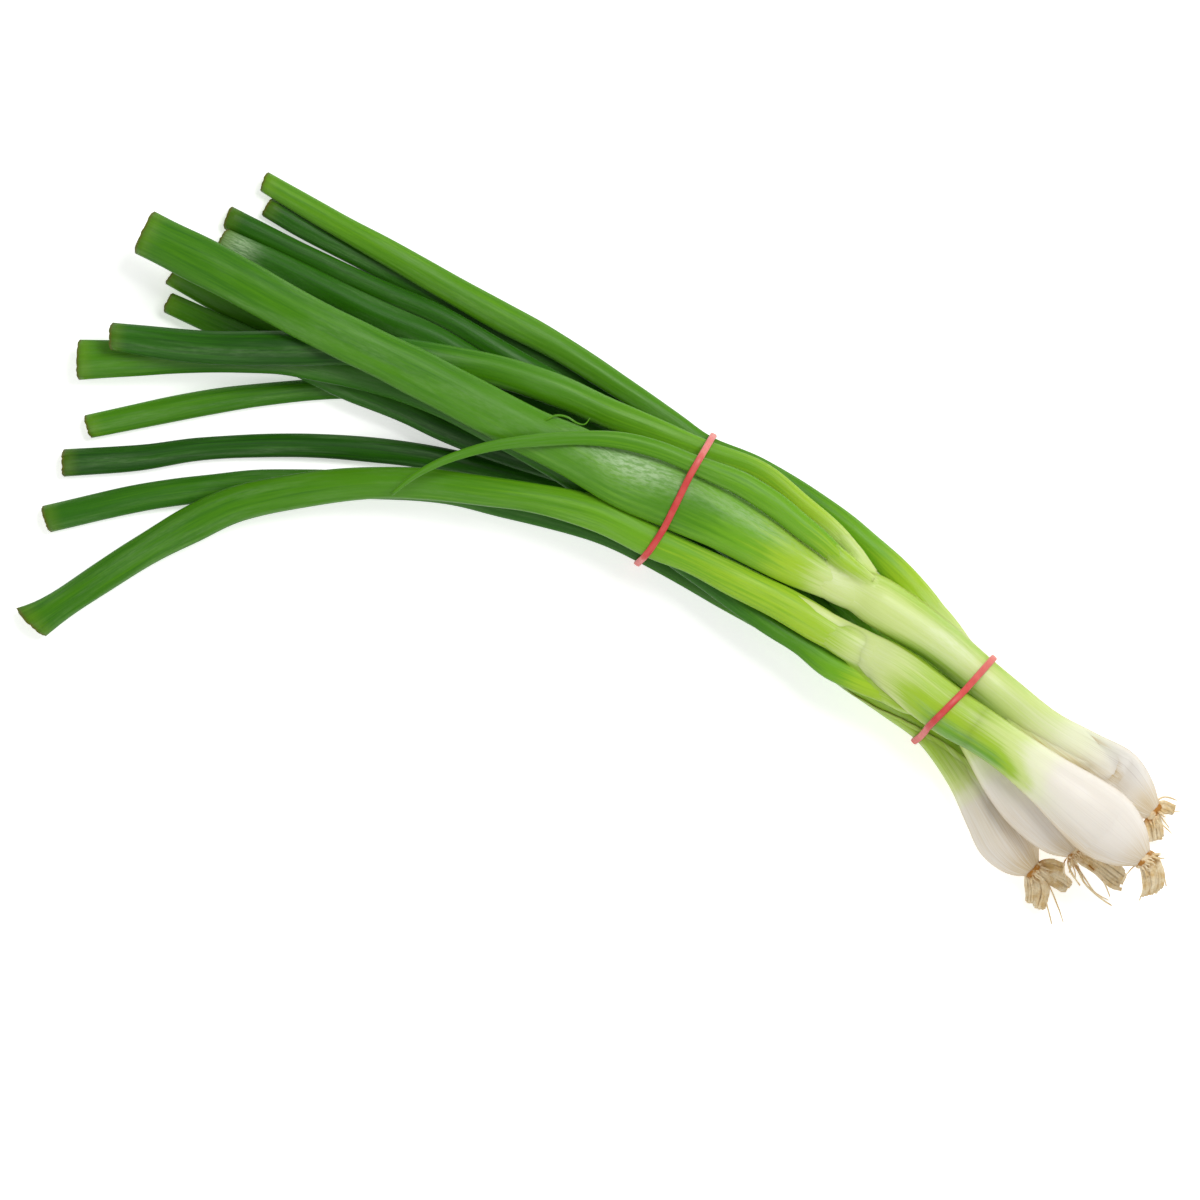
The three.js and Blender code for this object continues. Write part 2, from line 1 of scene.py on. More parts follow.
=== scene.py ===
import bpy
import math
import random
import numpy as np
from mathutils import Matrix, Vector


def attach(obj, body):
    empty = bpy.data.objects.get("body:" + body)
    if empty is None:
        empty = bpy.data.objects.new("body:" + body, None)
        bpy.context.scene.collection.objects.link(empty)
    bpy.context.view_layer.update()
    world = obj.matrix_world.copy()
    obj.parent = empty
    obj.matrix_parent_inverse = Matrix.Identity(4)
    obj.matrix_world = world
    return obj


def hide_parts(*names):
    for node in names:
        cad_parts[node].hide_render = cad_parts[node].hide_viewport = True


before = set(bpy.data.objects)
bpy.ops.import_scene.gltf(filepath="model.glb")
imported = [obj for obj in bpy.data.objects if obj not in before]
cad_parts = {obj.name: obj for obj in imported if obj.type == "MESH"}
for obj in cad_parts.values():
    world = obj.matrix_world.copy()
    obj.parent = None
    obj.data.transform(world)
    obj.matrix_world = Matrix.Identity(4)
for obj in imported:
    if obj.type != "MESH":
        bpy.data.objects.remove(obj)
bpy.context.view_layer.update()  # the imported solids: bodies, nodes and record

# A bunch of four spring onions in two rubber bands, lying on a table.
# Routes are in millimetres as in the solids; finished pieces are in metres.
scene = bpy.context.scene
mm = 0.001
floorClear = 0.02        # how far above the table the lowest points stay, in millimetres
uncut = 99.0             # the cut attribute where no knife has been

# how the strands lie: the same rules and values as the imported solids
laySettings = {
    "planMiddle": (3.66, 1.94),
    "gap": 0.45,              # air between strands that lie on each other
    "bandLift": 1.9,          # what a band holds the strands off the table
    "bandMargin": 8.0,
    "bulbSink": 0.4,
    "leafSink": 0.12,
    "thinnest": 0.45,
    "squeezeShare": 0.22,     # leaves are flatter near the upper band
    "squeezeReach": 22.0,
    "rootShare": 0.55,
    "step": 3.0,
    "shaftSag": 0.00002,
    "leafSag": 0.00035,
    "endBend": 0.0012,
    "endSteepest": 0.1,
    "touching": 0.02,
    "plump": 0.9,
    "softenings": 4,
}

# two opposite points of each band, seen from above
bandSettings = {
    "bandUpper": {"node": "band_upper", "start": (33, 32.5), "end": (11, -4)},
    "bandLower": {"node": "band_lower", "start": (112.5, -31.5), "end": (89.5, -55.5)},
}

# the strands, in the order in which they are laid; tones are (millimetres from the foot, tone),
# from 0, white, over lime to 1, dark green
strands = [
    {
        "node": "onion_a_bulb", "bulb": True, "round": 0.9,
        "tones": [(0, 0), (25, 0.02), (34, 0.3), (46, 0.4), (60, 0.42), (74, 0.48), (88, 0.58)],
        # the tan patch at 60 degrees, on the flank facing onion b, is partly painted crease shade
        "patches": [("tan", 1, 5, 0, 400, 0.7), ("tan", 14, 12, 60, 50, 0.45), ("tan", 16, 18, 0, 400, 0.26),
                    ("vein", 16, 20, 40, 90, 0.12)],
        "route": [(124.5, -91.5, 2.6), (121.5, -88.5, 6.2), (117, -82.5, 8.7), (112, -74.5, 7.8),
                  (105, -64, 5.8), (95, -51, 5.3), (85, -43.5, 5.3), (75.5, -37, 5.3),
                  (66.5, -31, 5.2), (60, -27, 4.2)],
    },
    {
        "node": "onion_b_bulb", "bulb": True, "round": 0.88,
        "tones": [(0, 0), (28, 0.02), (36, 0.14), (44, 0.34), (60, 0.45), (95, 0.5)],
        # the tan patches at -70 and 80 degrees, on the flanks facing onions a and c, are partly painted
        # crease shade
        "patches": [("tan", 1, 5, 0, 400, 0.7), ("tan", 16, 12, -70, 50, 0.3), ("tan", 12, 14, 80, 40, 0.5),
                    ("vein", 14, 16, 60, 60, 0.12)],
        "route": [(136, -86, 2.6), (132, -82, 6.2), (124.5, -73, 8.9), (117.5, -64.3, 8.6),
                  (110.5, -54.8, 7), (102.5, -43.5, 6), (92, -34.5, 5.8), (81, -26.5, 5.8),
                  (74, -21, 4.6)],
    },
    {
        "node": "onion_a_leaf_1", "shaft": "onion_a_bulb", "flat": 0.6, "slant": 5, "rise": -1,
        "tones": [(0, 0.5), (16, 0.62), (40, 0.8), (80, 0.85), (150, 0.8), (240, 0.85)],
        "route": [(66, -32.5, 2.2), (57.5, -26, 3), (43.5, -17.5, 3.4), (29, -9.5, 3.3),
                  (13, -0.8, 3.1), (0.5, 5, 3.1), (-28, 13, 3.4), (-45, 17, 3.7), (-62.5, 18.5, 4),
                  (-96.5, 19, 4), (-113.5, 17.5, 4), (-131, 15, 4), (-157.5, 9, 3.9)],
    },
    {
        "node": "onion_a_leaf_2", "shaft": "onion_a_bulb", "flat": 0.6, "slant": -4, "rise": 0,
        "tones": [(0, 0.5), (16, 0.66), (40, 0.85), (120, 0.95), (240, 0.95)],
        "route": [(67.5, -30, 2), (57.5, -20.5, 2.8), (43, -9.1, 3.4), (28, -0.4, 3.5),
                  (16.6, 5.3, 3.1), (3.5, 11.5, 3.3), (-28, 22, 3.6), (-48, 26.5, 3.6),
                  (-62.5, 28.5, 3.6), (-85, 30, 3.4), (-113.5, 29, 3.4), (-131, 26.5, 3.7),
                  (-152.5, 25, 3.9)],
    },
    {
        "node": "onion_a_leaf_3", "shaft": "onion_a_bulb", "flat": 0.6, "slant": 6, "rise": 0,
        "tones": [(0, 0.5), (16, 0.66), (40, 0.85), (120, 0.88), (240, 0.72)],
        "route": [(69.5, -27.5, 2), (58, -14.5, 2.8), (43.5, -1.5, 3), (30.5, 6, 3),
                  (19.9, 10.9, 3.1), (4, 19.5, 3.1), (-25, 34.5, 3.1), (-42.5, 41.5, 3.1),
                  (-56.5, 45.5, 3.1), (-71, 46.5, 3.1), (-96.5, 44.5, 3.3), (-113.5, 42, 3.7),
                  (-145.5, 35.5, 3.4)],
    },
    {
        "node": "onion_b_leaf_1", "shaft": "onion_b_bulb", "flat": 0.6, "slant": 0, "rise": -1.5,
        "tones": [(0, 0.5), (20, 0.7), (60, 0.85), (120, 0.9), (220, 0.92)],
        "route": [(82, -25, 2), (70, -12, 2.6), (57, 1.5, 2.8), (43, 15.5, 2.8), (30, 27.6, 2.9),
                  (20.5, 34, 2.9), (6.5, 43, 3), (-28, 61.5, 3.1), (-61, 80.2, 3.1),
                  (-83.8, 91.9, 3), (-94.2, 98, 3)],
    },
    {
        "node": "onion_b_leaf_2", "shaft": "onion_b_bulb", "flat": 0.6, "slant": 8, "rise": -0.5,
        "tones": [(0, 0.5), (20, 0.7), (60, 0.85), (120, 0.88), (220, 0.9)],
        "route": [(81, -27, 2), (69.5, -15.5, 2.6), (55, -3.5, 2.8), (41, 9, 2.9),
                  (26.6, 22, 3.1), (6.5, 36.5, 3.1), (-28, 57, 3.1), (-45, 67, 3),
                  (-62.7, 74.6, 3), (-85.2, 85.1, 3), (-105.5, 95, 3.5)],
    },
    {
        "node": "onion_b_leaf_3", "shaft": "onion_b_bulb", "flat": 0.6, "slant": -6, "rise": 0,
        "tones": [(0, 0.5), (20, 0.7), (60, 0.82), (120, 0.86), (220, 0.88)],
        "patches": [("bloom", 218, 5, 10, 60, 0.9)],
        "route": [(80, -29, 2), (68, -19, 2.6), (53, -7.5, 2.8), (38.5, 4, 3), (23.3, 16.4, 3.2),
                  (6.5, 29, 3.2), (-28, 49.2, 3.7), (-45, 59.2, 4), (-65.2, 68.4, 4.2),
                  (-86.1, 78.7, 4), (-107.2, 88.7, 3.5)],
    },
    {
        "node": "onion_b_leaf_4", "shaft": "onion_b_bulb", "flat": 0.6, "slant": -10, "rise": 1.5,
        "tones": [(0, 0.5), (20, 0.7), (60, 0.85), (120, 0.9), (200, 0.78), (220, 0.7)],
        "route": [(81, -26.5, 2.2), (69, -14.5, 2.6), (55, -1.5, 3), (40, 9.5, 3.2),
                  (24.8, 19, 3.4), (3, 26.5, 3.4), (-16.5, 33, 3.4), (-43.5, 44, 3.4),
                  (-56.5, 50, 3.4), (-76.5, 57.5, 4.1), (-99.5, 67.5, 4.2), (-121, 79, 3.8)],
    },
    {
        "node": "onion_a_leaf_4", "shaft": "onion_a_bulb", "flat": 0.6, "slant": 0, "rise": 2,
        "footPlump": 0.3,
        "tones": [(0, 0.5), (20, 0.7), (50, 0.88), (120, 0.97), (200, 0.8), (220, 0.7)],
        "route": [(70, -28.5, 2.2), (59, -15, 2.8), (47, -5.6, 3.2), (35, 3.1, 3.4),
                  (21.5, 13.4, 3.4), (3.5, 18.5, 3.4), (-28, 28.5, 3.6), (-44.5, 35, 3.7),
                  (-55, 40, 3.7), (-71, 46.4, 3.8), (-85, 53, 3.7), (-102.5, 61.4, 3.4),
                  (-122.5, 70.6, 3.1)],
    },
    {
        "node": "onion_d_bulb", "bulb": True, "round": 0.9,
        "webs": [[(-14, 0, 0, 6.2, 5.6), (-6, 0, -0.2, 6.6, 5.0), (2, 0.5, -0.8, 6.3, 3.8),
                  (10, 1, -1.4, 5.2, 2.6), (18, 1.5, -2.0, 3.6, 1.5)]],
        "tones": [(0, 0), (20, 0.02), (29, 0.08), (40, 0.17), (52, 0.22), (66, 0.23), (80, 0.23),
                  (96, 0.24), (115, 0.3)],
        "patches": [("tone", 75, 26, -75, 35, 0.14), ("tone", 82, 36, 68, 32, 0.16),
                    ("tan", 36, 9, -45, 20, 0.9), ("tan", 25, 7, -28, 26, 0.8),
                    ("tan", 14, 5, -10, 30, 0.3), ("tan", 2, 5, 0, 400, 0.7),
                    ("vein", 15, 14, 10, 80, 0.3), ("bloom", 78, 10, 20, 40, 0.3)],
        "route": [(159, -75, 2.6), (155, -71.5, 6.2), (148, -65.5, 9.1), (139, -59, 7.6),
                  (128, -51.5, 6.1), (117.5, -43, 5.9), (108.5, -35.5, 5.9), (97, -26, 6.4),
                  (86.1, -18.6, 7.1), (75.4, -11.9, 7.1), (69.5, -8.4, 5.4)],
    },
    {
        "node": "onion_c_bulb", "bulb": True, "round": 0.88,
        "tones": [(0, 0), (34, 0.02), (42, 0.12), (52, 0.27), (66, 0.36), (80, 0.34),
                  (92, 0.28), (110, 0.26)],
        "patches": [("tone", 48, 12, -48, 38, 0.2), ("tone", 66, 18, -66, 44, 0.16),
                    ("tone", 88, 16, -55, 50, 0.26), ("tone", 85, 30, 85, 30, 0.14),
                    # the tan patch at -84 degrees, on the flank facing onion b, is partly painted crease
                    # shade
                    ("tan", 0, 5, 0, 400, 0.7), ("tan", 16, 15, -84, 34, 0.8),
                    # the whitish patch at 104 mm is partly wax and partly a painted highlight near the collar
                    ("bloom", 104, 9, -10, 50, 0.5)],
        "route": [(155.5, -88, 2.8), (151.5, -84.5, 7.2), (144.5, -78.5, 10.2), (137, -72.5, 9.5),
                  (127.5, -65, 7.6), (117, -57, 6.6), (110.5, -52.5, 6.6), (99, -45, 7),
                  (86.5, -35.5, 7), (77.5, -30, 6.6), (71, -26, 5)],
    },
    {
        "node": "onion_d_leaf_1", "shaft": "onion_d_bulb", "flat": 0.62, "slant": 10, "rise": -1,
        "tones": [(0, 0.28), (20, 0.36), (40, 0.54), (70, 0.7), (120, 0.7), (180, 0.66), (260, 0.63)],
        "route": [(106, -29, 2.6), (93.3, -14.8, 3.8), (85.6, -6.4, 4), (77, 1.5, 3.8),
                  (68.5, 8.9, 3.4), (46.7, 23.2, 3), (31, 30, 2.9), (21.5, 36.7, 3),
                  (10.5, 44, 3.3), (-12.5, 58.7, 3.9), (-28, 67, 4.3), (-45, 76.5, 4.1),
                  (-58.5, 84.3, 3.8), (-75, 93.5, 3.4), (-95, 105.2, 3)],
    },
    {
        "node": "onion_c_leaf_1", "shaft": "onion_c_bulb", "flat": 0.5, "slant": -3, "rise": -2.5,
        "footPlump": 0.8, "foot": 0.6,
        "tones": [(0, 0.34), (14, 0.36), (24, 0.44), (34, 0.6), (50, 0.74), (70, 0.85),
                  (110, 0.9), (130, 0.84), (190, 0.84), (240, 0.8), (265, 0.74)],
        "route": [(96, -46, 3), (89.5, -43.5, 3.6), (83.4, -40.4, 3.9), (74.5, -37, 3.7),
                  (65.9, -33, 3.6), (57.7, -27, 3), (49, -21.5, 3), (40, -15, 3.1),
                  (30, -7.5, 3.3), (19.5, 0.5, 3.6), (10, 8.5, 3.9), (-1, 16.5, 4.1),
                  (-11, 24, 4.3), (-28, 34, 4.6), (-45, 43, 4.9), (-61.5, 49, 5), (-78, 53, 5.1),
                  (-91, 55.5, 5.3), (-113.5, 56, 5.3), (-131, 55, 5.3), (-148, 54.5, 5.7)],
    },
    {
        "node": "onion_d_leaf_2", "shaft": "onion_d_bulb", "flat": 0.6, "slant": 4, "rise": -1,
        "footPlump": 0.3, "foot": 0.8,
        "tones": [(0, 0.24), (14, 0.32), (30, 0.43), (60, 0.56), (100, 0.68),
                  (140, 0.78), (165, 0.94), (190, 0.96), (240, 0.88)],
        "route": [(78.6, -6.8, 2.3), (69, 4.3, 2.5), (57.7, 13.9, 2.7), (46.5, 22.5, 2.9),
                  (30.5, 28.5, 3), (16.5, 34, 3.6), (4.5, 38.5, 4.3), (-11.5, 45.5, 4.7),
                  (-28.5, 51, 4.6), (-56.5, 56, 4.6), (-73.5, 57.5, 4.9), (-91, 57.5, 5.1),
                  (-113.5, 58, 4.7), (-138.5, 61, 4.1)],
    },
    {
        "node": "onion_c_leaf_2", "shaft": "onion_c_bulb", "flat": 0.62, "slant": -12, "rise": 1,
        "footPlump": 0.15, "cutSlant": 14, "flare": 1.6,
        "tones": [(0, 0.22), (14, 0.36), (30, 0.44), (60, 0.5), (90, 0.6),
                  (130, 0.68), (200, 0.76), (270, 0.8)],
        "route": [(80, -31.5, 5), (66.5, -23.5, 5.1), (52, -15, 4.9), (39, -8.5, 4.9),
                  (27, -2.5, 4.4), (15.5, 2.5, 4.9), (0.5, 10, 5), (-16.5, 14.5, 4.3),
                  (-33.5, 17, 4.4), (-51, 19, 4.6), (-68, 19, 4.6), (-85, 17, 5), (-104, 13, 5.3),
                  (-117, 7, 5.3), (-130.5, -0.5, 4.6), (-141.5, -7.5, 4.4), (-153.5, -15.5, 4.4),
                  (-161.5, -21, 5)],
    },
    {
        "node": "onion_d_leaf_3", "shaft": "onion_d_bulb", "flat": 0.5, "slant": 2, "rise": 0,
        "shreds": [([(-21.5, 33.2, 1.8), (-18.4, 35.2, 2.4), (-15.4, 36.4, 2.3), (-12.4, 35.9, 2.1),
                     (-9.6, 34.2, 1.9), (-7.4, 33.9, 1.8), (-6, 35.6, 1.8)], 0.42)],
        "footPlump": 0.55,
        "tones": [(0, 0.2), (10, 0.22), (16, 0.26), (26, 0.4), (36, 0.49),
                  (60, 0.58), (90, 0.66), (140, 0.74), (200, 0.76), (250, 0.78)],
        # the three whitish patches paint highlights: two along the leaf's upper side and one near its foot
        "patches": [("bloom", 80, 15, 36, 34, 0.95), ("bloom", 42, 16, 35, 26, 0.45),
                    ("tone", 60, 16, -15, 60, 0.1), ("bloom", 12, 8, 20, 40, 0.3)],
        "route": [(80, -14.5, 5), (72, -11.5, 5.4), (63.5, -7.5, 5.9), (56, -3.5, 6.8),
                  (48, 1.2, 7.7), (37, 7.5, 8.3), (22.5, 14.5, 8.9), (4.5, 21.5, 8), (-7, 28, 7.6),
                  (-19, 33.5, 7.1), (-30.5, 39.5, 6.9), (-53.5, 51.5, 6.6), (-82, 65.5, 6.6),
                  (-105.5, 78.5, 6.6), (-129, 90.5, 6.7)],
    },
    {
        "node": "onion_d_leaf_4", "shaft": "onion_d_bulb", "flat": 0.6, "slant": 0, "rise": 2, "tip": True,
        "footPlump": 0.3,
        "tones": [(0, 0.3), (14, 0.48), (30, 0.57), (60, 0.64), (120, 0.7), (170, 0.68)],
        "route": [(78, -9, 2.4), (69, -2.3, 2.9), (63.4, 2.6, 3.2), (57.7, 7, 3.4), (52, 11.7, 3.5),
                  (46.3, 15.6, 3.5), (40.6, 19, 3.4), (32, 22.6, 3), (26.3, 24.9, 2.7),
                  (17.7, 28.4, 2.6), (6.3, 31.2, 2.5), (-5.1, 31.9, 2.1), (-16.6, 31.3, 1.9),
                  (-28, 30, 1.6), (-36.6, 28, 1.4), (-45, 25, 1.2), (-52.5, 21, 0.9),
                  (-59, 15.8, 0.5)],
    },
]


def spacedPoints(route, step):
    # evenly spaced (x, y, half width) samples on a smooth curve through the route
    points = np.array(route, float)
    ends = 2 * points[0] - points[1], 2 * points[-1] - points[-2]
    padded = np.vstack([ends[0], points, ends[1]])

    def at(t):
        place = (len(points) - 1) * t
        i = min(int(place), len(points) - 2)
        w = place - i
        p0, p1, p2, p3 = padded[i:i + 4]
        d0, d1, d2 = (math.sqrt(np.linalg.norm(b - a)) for a, b in ((p0, p1), (p1, p2), (p2, p3)))
        m1 = ((p1 - p0) / d0 - (p2 - p0) / (d0 + d1) + (p2 - p1) / d1) * d1
        m2 = ((p2 - p1) / d1 - (p3 - p1) / (d1 + d2) + (p3 - p2) / d2) * d1
        bend, twist = 3 * (p2 - p1) - 2 * m1 - m2, 2 * (p1 - p2) + m1 + m2
        return p1 + m1 * w + bend * w ** 2 + twist * w ** 3

    stops = np.linspace(0, 1, 201)
    table = np.array([at(t) for t in stops])
    lengths = np.append(0, np.cumsum(np.linalg.norm(np.diff(table, axis=0), axis=1)))
    count = max(2, round(lengths[-1] / step))
    places = np.interp(np.linspace(0, lengths[-1], count + 1), lengths, stops)
    return np.array([at(t) for t in places])


def bandDistance(band, x, y):
    # distance of plan points from a band's line, and whether they are over its length
    (ax, ay), (bx, by) = band["start"], band["end"]
    length = math.hypot(bx - ax, by - ay)
    along = ((x - ax) * (bx - ax) + (y - ay) * (by - ay)) / length
    across = abs((x - ax) * (by - ay) - (y - ay) * (bx - ax)) / length
    margin = laySettings["bandMargin"]
    return across, (along > -margin) & (along < length + margin)


def drape(lowest, sag):
    # a taut, slightly drooping line over a row of lowest heights: its upper hull
    lay = sag * (np.arange(len(lowest)) * laySettings["step"]) ** 2
    lifted = lowest - lay
    hull = []
    for i, z in enumerate(lifted):
        while len(hull) > 1:
            p, q = hull[-2:]
            if (lifted[q] - lifted[p]) * (i - p) > (z - lifted[p]) * (q - p):
                break
            hull.pop()
        hull.append(i)
    return np.interp(np.arange(len(lowest)), hull, lifted[hull]) + lay


def levelBulb(half, lowest, heights):
    # a bulb is stiff: it runs on level from its widest place to its roots
    widest = int(np.argmax(half))
    carried = i = widest
    while half[i] > half[widest] * laySettings["plump"]:
        if heights[i] - lowest[i] < heights[carried] - lowest[carried]:
            carried = i
        i -= 1
    heights[:widest + 1] = heights[carried]
    return widest


def stiffenEnd(lowest, heights):
    # a leaf's free end runs on past what carries it and only slowly bends down
    step = laySettings["step"]
    carried = len(heights) - 2
    while carried > 1:
        slope = heights[carried] - heights[carried - 1]
        onIt = heights[carried] < lowest[carried] + laySettings["touching"]
        if onIt and slope > -laySettings["endSteepest"] * step:
            break
        carried -= 1
    for i in range(max(carried, 1), len(heights) - 1):
        ahead = 2 * heights[i] - heights[i - 1] - laySettings["endBend"] * step ** 2
        heights[i + 1] = max(heights[i + 1], ahead)


def layStrand(strand, laid):
    # gives each sample of a strand its height over the table and the strands already laid
    lay = laySettings
    x, y, half = spacedPoints(strand["route"], lay["step"]).T
    isBulb = strand.get("bulb", False)
    if isBulb:
        thick = half * strand["round"]
    else:
        far = bandDistance(bandSettings["bandUpper"], x, y)[0] / lay["squeezeReach"]
        squeeze = 1 - lay["squeezeShare"] * np.exp(-far * far)
        thick = np.maximum(lay["thinnest"], half * strand["flat"] * squeeze)
    base = np.full(len(x), -lay["bulbSink"] if isBulb else -lay["leafSink"])
    for band in bandSettings.values():
        across, inside = bandDistance(band, x, y)
        base[inside & (across < lay["step"])] = lay["bandLift"]
    lowest = base + thick
    for other in laid:
        if other["node"] == strand.get("shaft"):
            continue
        reach = other["half"][None] + half[:, None] + lay["gap"]
        share = np.hypot(x[:, None] - other["x"][None], y[:, None] - other["y"][None]) / reach
        rise = (other["thick"][None] + thick[:, None] + lay["gap"])
        rise = rise * np.sqrt(np.clip(1 - share ** 2, 0, None))
        need = np.where(share < 1, other["z"][None] + rise, -np.inf)
        lowest = np.maximum(lowest, need.max(axis=1))
    if not isBulb:
        own = next(other for other in laid if other["node"] == strand["shaft"])
        gaps = np.hypot(x[:, None] - own["x"][None], y[:, None] - own["y"][None])
        nearest = gaps.argmin(axis=1)
        inShaft = gaps.min(axis=1) < own["half"][nearest] * lay["rootShare"]
        inShaft[0] = True
        lowest = np.where(inShaft, own["z"][nearest] + strand["rise"], lowest)
    heights = drape(lowest, lay["shaftSag"] if isBulb else lay["leafSag"])
    settled = -1
    if isBulb:
        settled = levelBulb(half, lowest, heights)
    else:
        stiffenEnd(lowest, heights)
    for _ in range(lay["softenings"]):
        ends = np.concatenate([heights[:1], heights, heights[-1:]])
        softer = np.maximum((ends[:-2] + 2 * heights + ends[2:]) / 4, lowest)
        heights = np.where(np.arange(len(heights)) <= settled, heights, softer)
    laid.append({**strand, "x": x, "y": y, "z": heights, "half": half, "thick": thick})


laidStrands = []
for strand in strands:
    layStrand(strand, laidStrands)
for strand in laidStrands:
    strand["x"] = strand["x"] - laySettings["planMiddle"][0]
    strand["y"] = strand["y"] - laySettings["planMiddle"][1]
byNode = {strand["node"]: strand for strand in laidStrands}
print("strands laid:", len(laidStrands))


# the strands as meshes

def smoothAt(values, places):
    # values between samples, on a smooth curve
    last = len(values) - 1
    i = np.clip(places.astype(int), 0, last - 1)
    w = (places - i)[:, None]
    before, after = values[np.maximum(i - 1, 0)], values[np.minimum(i + 2, last)]
    a, b = values[i], values[i + 1]
    ma, mb = (b - before) / 2, (after - a) / 2
    return a + ma * w + (3 * (b - a) - 2 * ma - mb) * w ** 2 + (2 * (a - b) + ma + mb) * w ** 3


def finePath(strand, step):
    # middle points, half widths, half thicknesses, distances and directions along a strand
    keys = ("x", "y", "z", "half", "thick")
    values = np.column_stack([strand[key] for key in keys])
    count = max(8, round((len(values) - 1) * laySettings["step"] / step))
    fine = smoothAt(values, np.linspace(0, len(values) - 1, count + 1))
    middle = fine[:, :3]
    run = np.append(0, np.cumsum(np.linalg.norm(np.diff(middle, axis=0), axis=1)))
    along = np.gradient(middle, axis=0)
    along /= np.linalg.norm(along, axis=1)[:, None]
    side = np.cross([0, 0, 1], along)
    side /= np.linalg.norm(side, axis=1)[:, None]
    thick = fine[:, 4] * (1 + strand.get("footPlump", 0) * np.exp(-(run / 16) ** 2))
    return {"middle": middle, "half": fine[:, 3], "thick": thick, "run": run,
            "along": along, "side": side, "up": np.cross(along, side)}


def waves(seed, places, longest, strength):
    # a smooth random wander along a strand
    rng = random.Random(seed)
    total = np.zeros_like(places)
    for k in range(1, 5):
        total += rng.uniform(0.4, 1) / k * np.sin(places * k * 2 * math.pi / longest + rng.uniform(0, 7))
    return total * strength / 1.5


def ovalRings(path, across, rise):
    # rings round a path; across and rise are the section's shares of half width and thickness
    wide = across * path["half"][:, None]
    high = rise * path["thick"][:, None]
    rings = path["middle"][:, None] - wide[..., None] * path["side"][:, None]
    rings = rings + high[..., None] * path["up"][:, None]
    return rings, wide


def roundRings(path, sides, size=1):
    # rings of a plain oval section
    angles = np.linspace(0, 2 * math.pi, sides, endpoint=False)[None]
    return ovalRings(path, np.sin(angles) * size, np.cos(angles) * size)[0]


def flatGrid(alongX, alongY):
    # a flat grid, and for each of its points the line it lies on, counted along x and along y
    bpy.ops.object.select_all(action="DESELECT")
    bpy.ops.mesh.primitive_grid_add(x_subdivisions=alongX, y_subdivisions=alongY, size=2)
    grid = bpy.context.object
    flat = pointsOf(grid) * mm
    lines = [np.rint((flat[:, k] + 1) / 2 * count).astype(int) for k, count in enumerate((alongX, alongY))]
    return grid, *lines


def rolledTube(name, rings):
    # a flat grid rolled up so that its rows run along the strand
    stops, sides = rings.shape[0] - 1, rings.shape[1]
    tube, column, row = flatGrid(stops, sides)
    row = row % sides
    tube.name = tube.data.name = name
    movePoints(tube, rings[column, row])
    middle = rings[:2].mean(axis=(0, 1)) * mm
    face = next(f for f in tube.data.polygons
                if max(column[v] for v in f.vertices) == 1 and max(row[v] for v in f.vertices) == 1)
    if (face.center - Vector(middle)).dot(face.normal) < 0:
        inEditMode(tube, bpy.ops.mesh.flip_normals)
    return tube, column, row


def selectOnly(active, *others):
    bpy.ops.object.select_all(action="DESELECT")
    for piece in (*others, active):
        piece.select_set(True)
    bpy.context.view_layer.objects.active = active


def inEditMode(piece, *steps):
    selectOnly(piece)
    bpy.ops.object.mode_set(mode="EDIT")
    bpy.ops.mesh.select_all(action="SELECT")
    for step in steps:
        step()
    bpy.ops.object.mode_set(mode="OBJECT")


def weldSeam():
    bpy.ops.mesh.remove_doubles(threshold=2e-6)


def capEnds():
    bpy.ops.mesh.select_all(action="DESELECT")
    bpy.ops.mesh.select_mode(type="EDGE")
    bpy.ops.mesh.select_non_manifold(extend=False, use_wire=False, use_multi_face=False,
                                     use_non_contiguous=False, use_verts=False)
    bpy.ops.mesh.edge_face_add()
    bpy.ops.mesh.select_mode(type="VERT")
    bpy.ops.mesh.select_all(action="SELECT")


def joinInto(body, parts):
    selectOnly(body, *parts)
    bpy.ops.object.join()


def addAttribute(piece, name, values):
    kind = "FLOAT_VECTOR" if values.ndim == 2 else "FLOAT"
    attribute = piece.data.attributes.new(name, kind, "POINT")
    attribute.data.foreach_set("vector" if values.ndim == 2 else "value", values.ravel())


def addGrain(piece, theta, run, scale, seed):
    # the skin's own directions: round the strand and along it, moved on from piece to piece
    around = np.sin(theta) * scale + seed * 3.1
    addAttribute(piece, "grain", np.column_stack([around, np.cos(theta) * scale, run]))


def pointsOf(piece):
    # a piece's points in millimetres
    points = np.empty(len(piece.data.vertices) * 3)
    piece.data.vertices.foreach_get("co", points)
    return points.reshape(-1, 3) / mm


def movePoints(piece, points):
    piece.data.vertices.foreach_set("co", (points * mm).ravel())
    piece.data.update()


def applyModifier(piece, kind, **values):
    selectOnly(piece)
    modifier = piece.modifiers.new(kind.title(), kind)
    for key, value in values.items():
        setattr(modifier, key, value)
    bpy.ops.object.modifier_apply(modifier=modifier.name)


def shadeSmooth(piece):
    piece.data.polygons.foreach_set("use_smooth", [True] * len(piece.data.polygons))
    piece.data.update()


def finishPiece(piece, slotName, *nodes):
    shadeSmooth(piece)
    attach(piece, "root")
    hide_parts(*nodes)


def easeTo(values, start, end):
    # 0 at start, 1 at end, smooth between
    t = np.clip((values - start) / (end - start), 0, 1)
    return t * t * (3 - 2 * t)


def pieceName(node):
    first, *rest = node.split("_")
    return first + "".join(word.title() for word in rest)


# the skins, fibres and rubber

def linear(hexColour):
    # a hexadecimal colour as linear values
    parts = [int(hexColour[i:i + 2], 16) / 255 for i in (0, 2, 4)]
    return [c / 12.92 if c < 0.04045 else ((c + 0.055) / 1.055) ** 2.4 for c in parts] + [1]


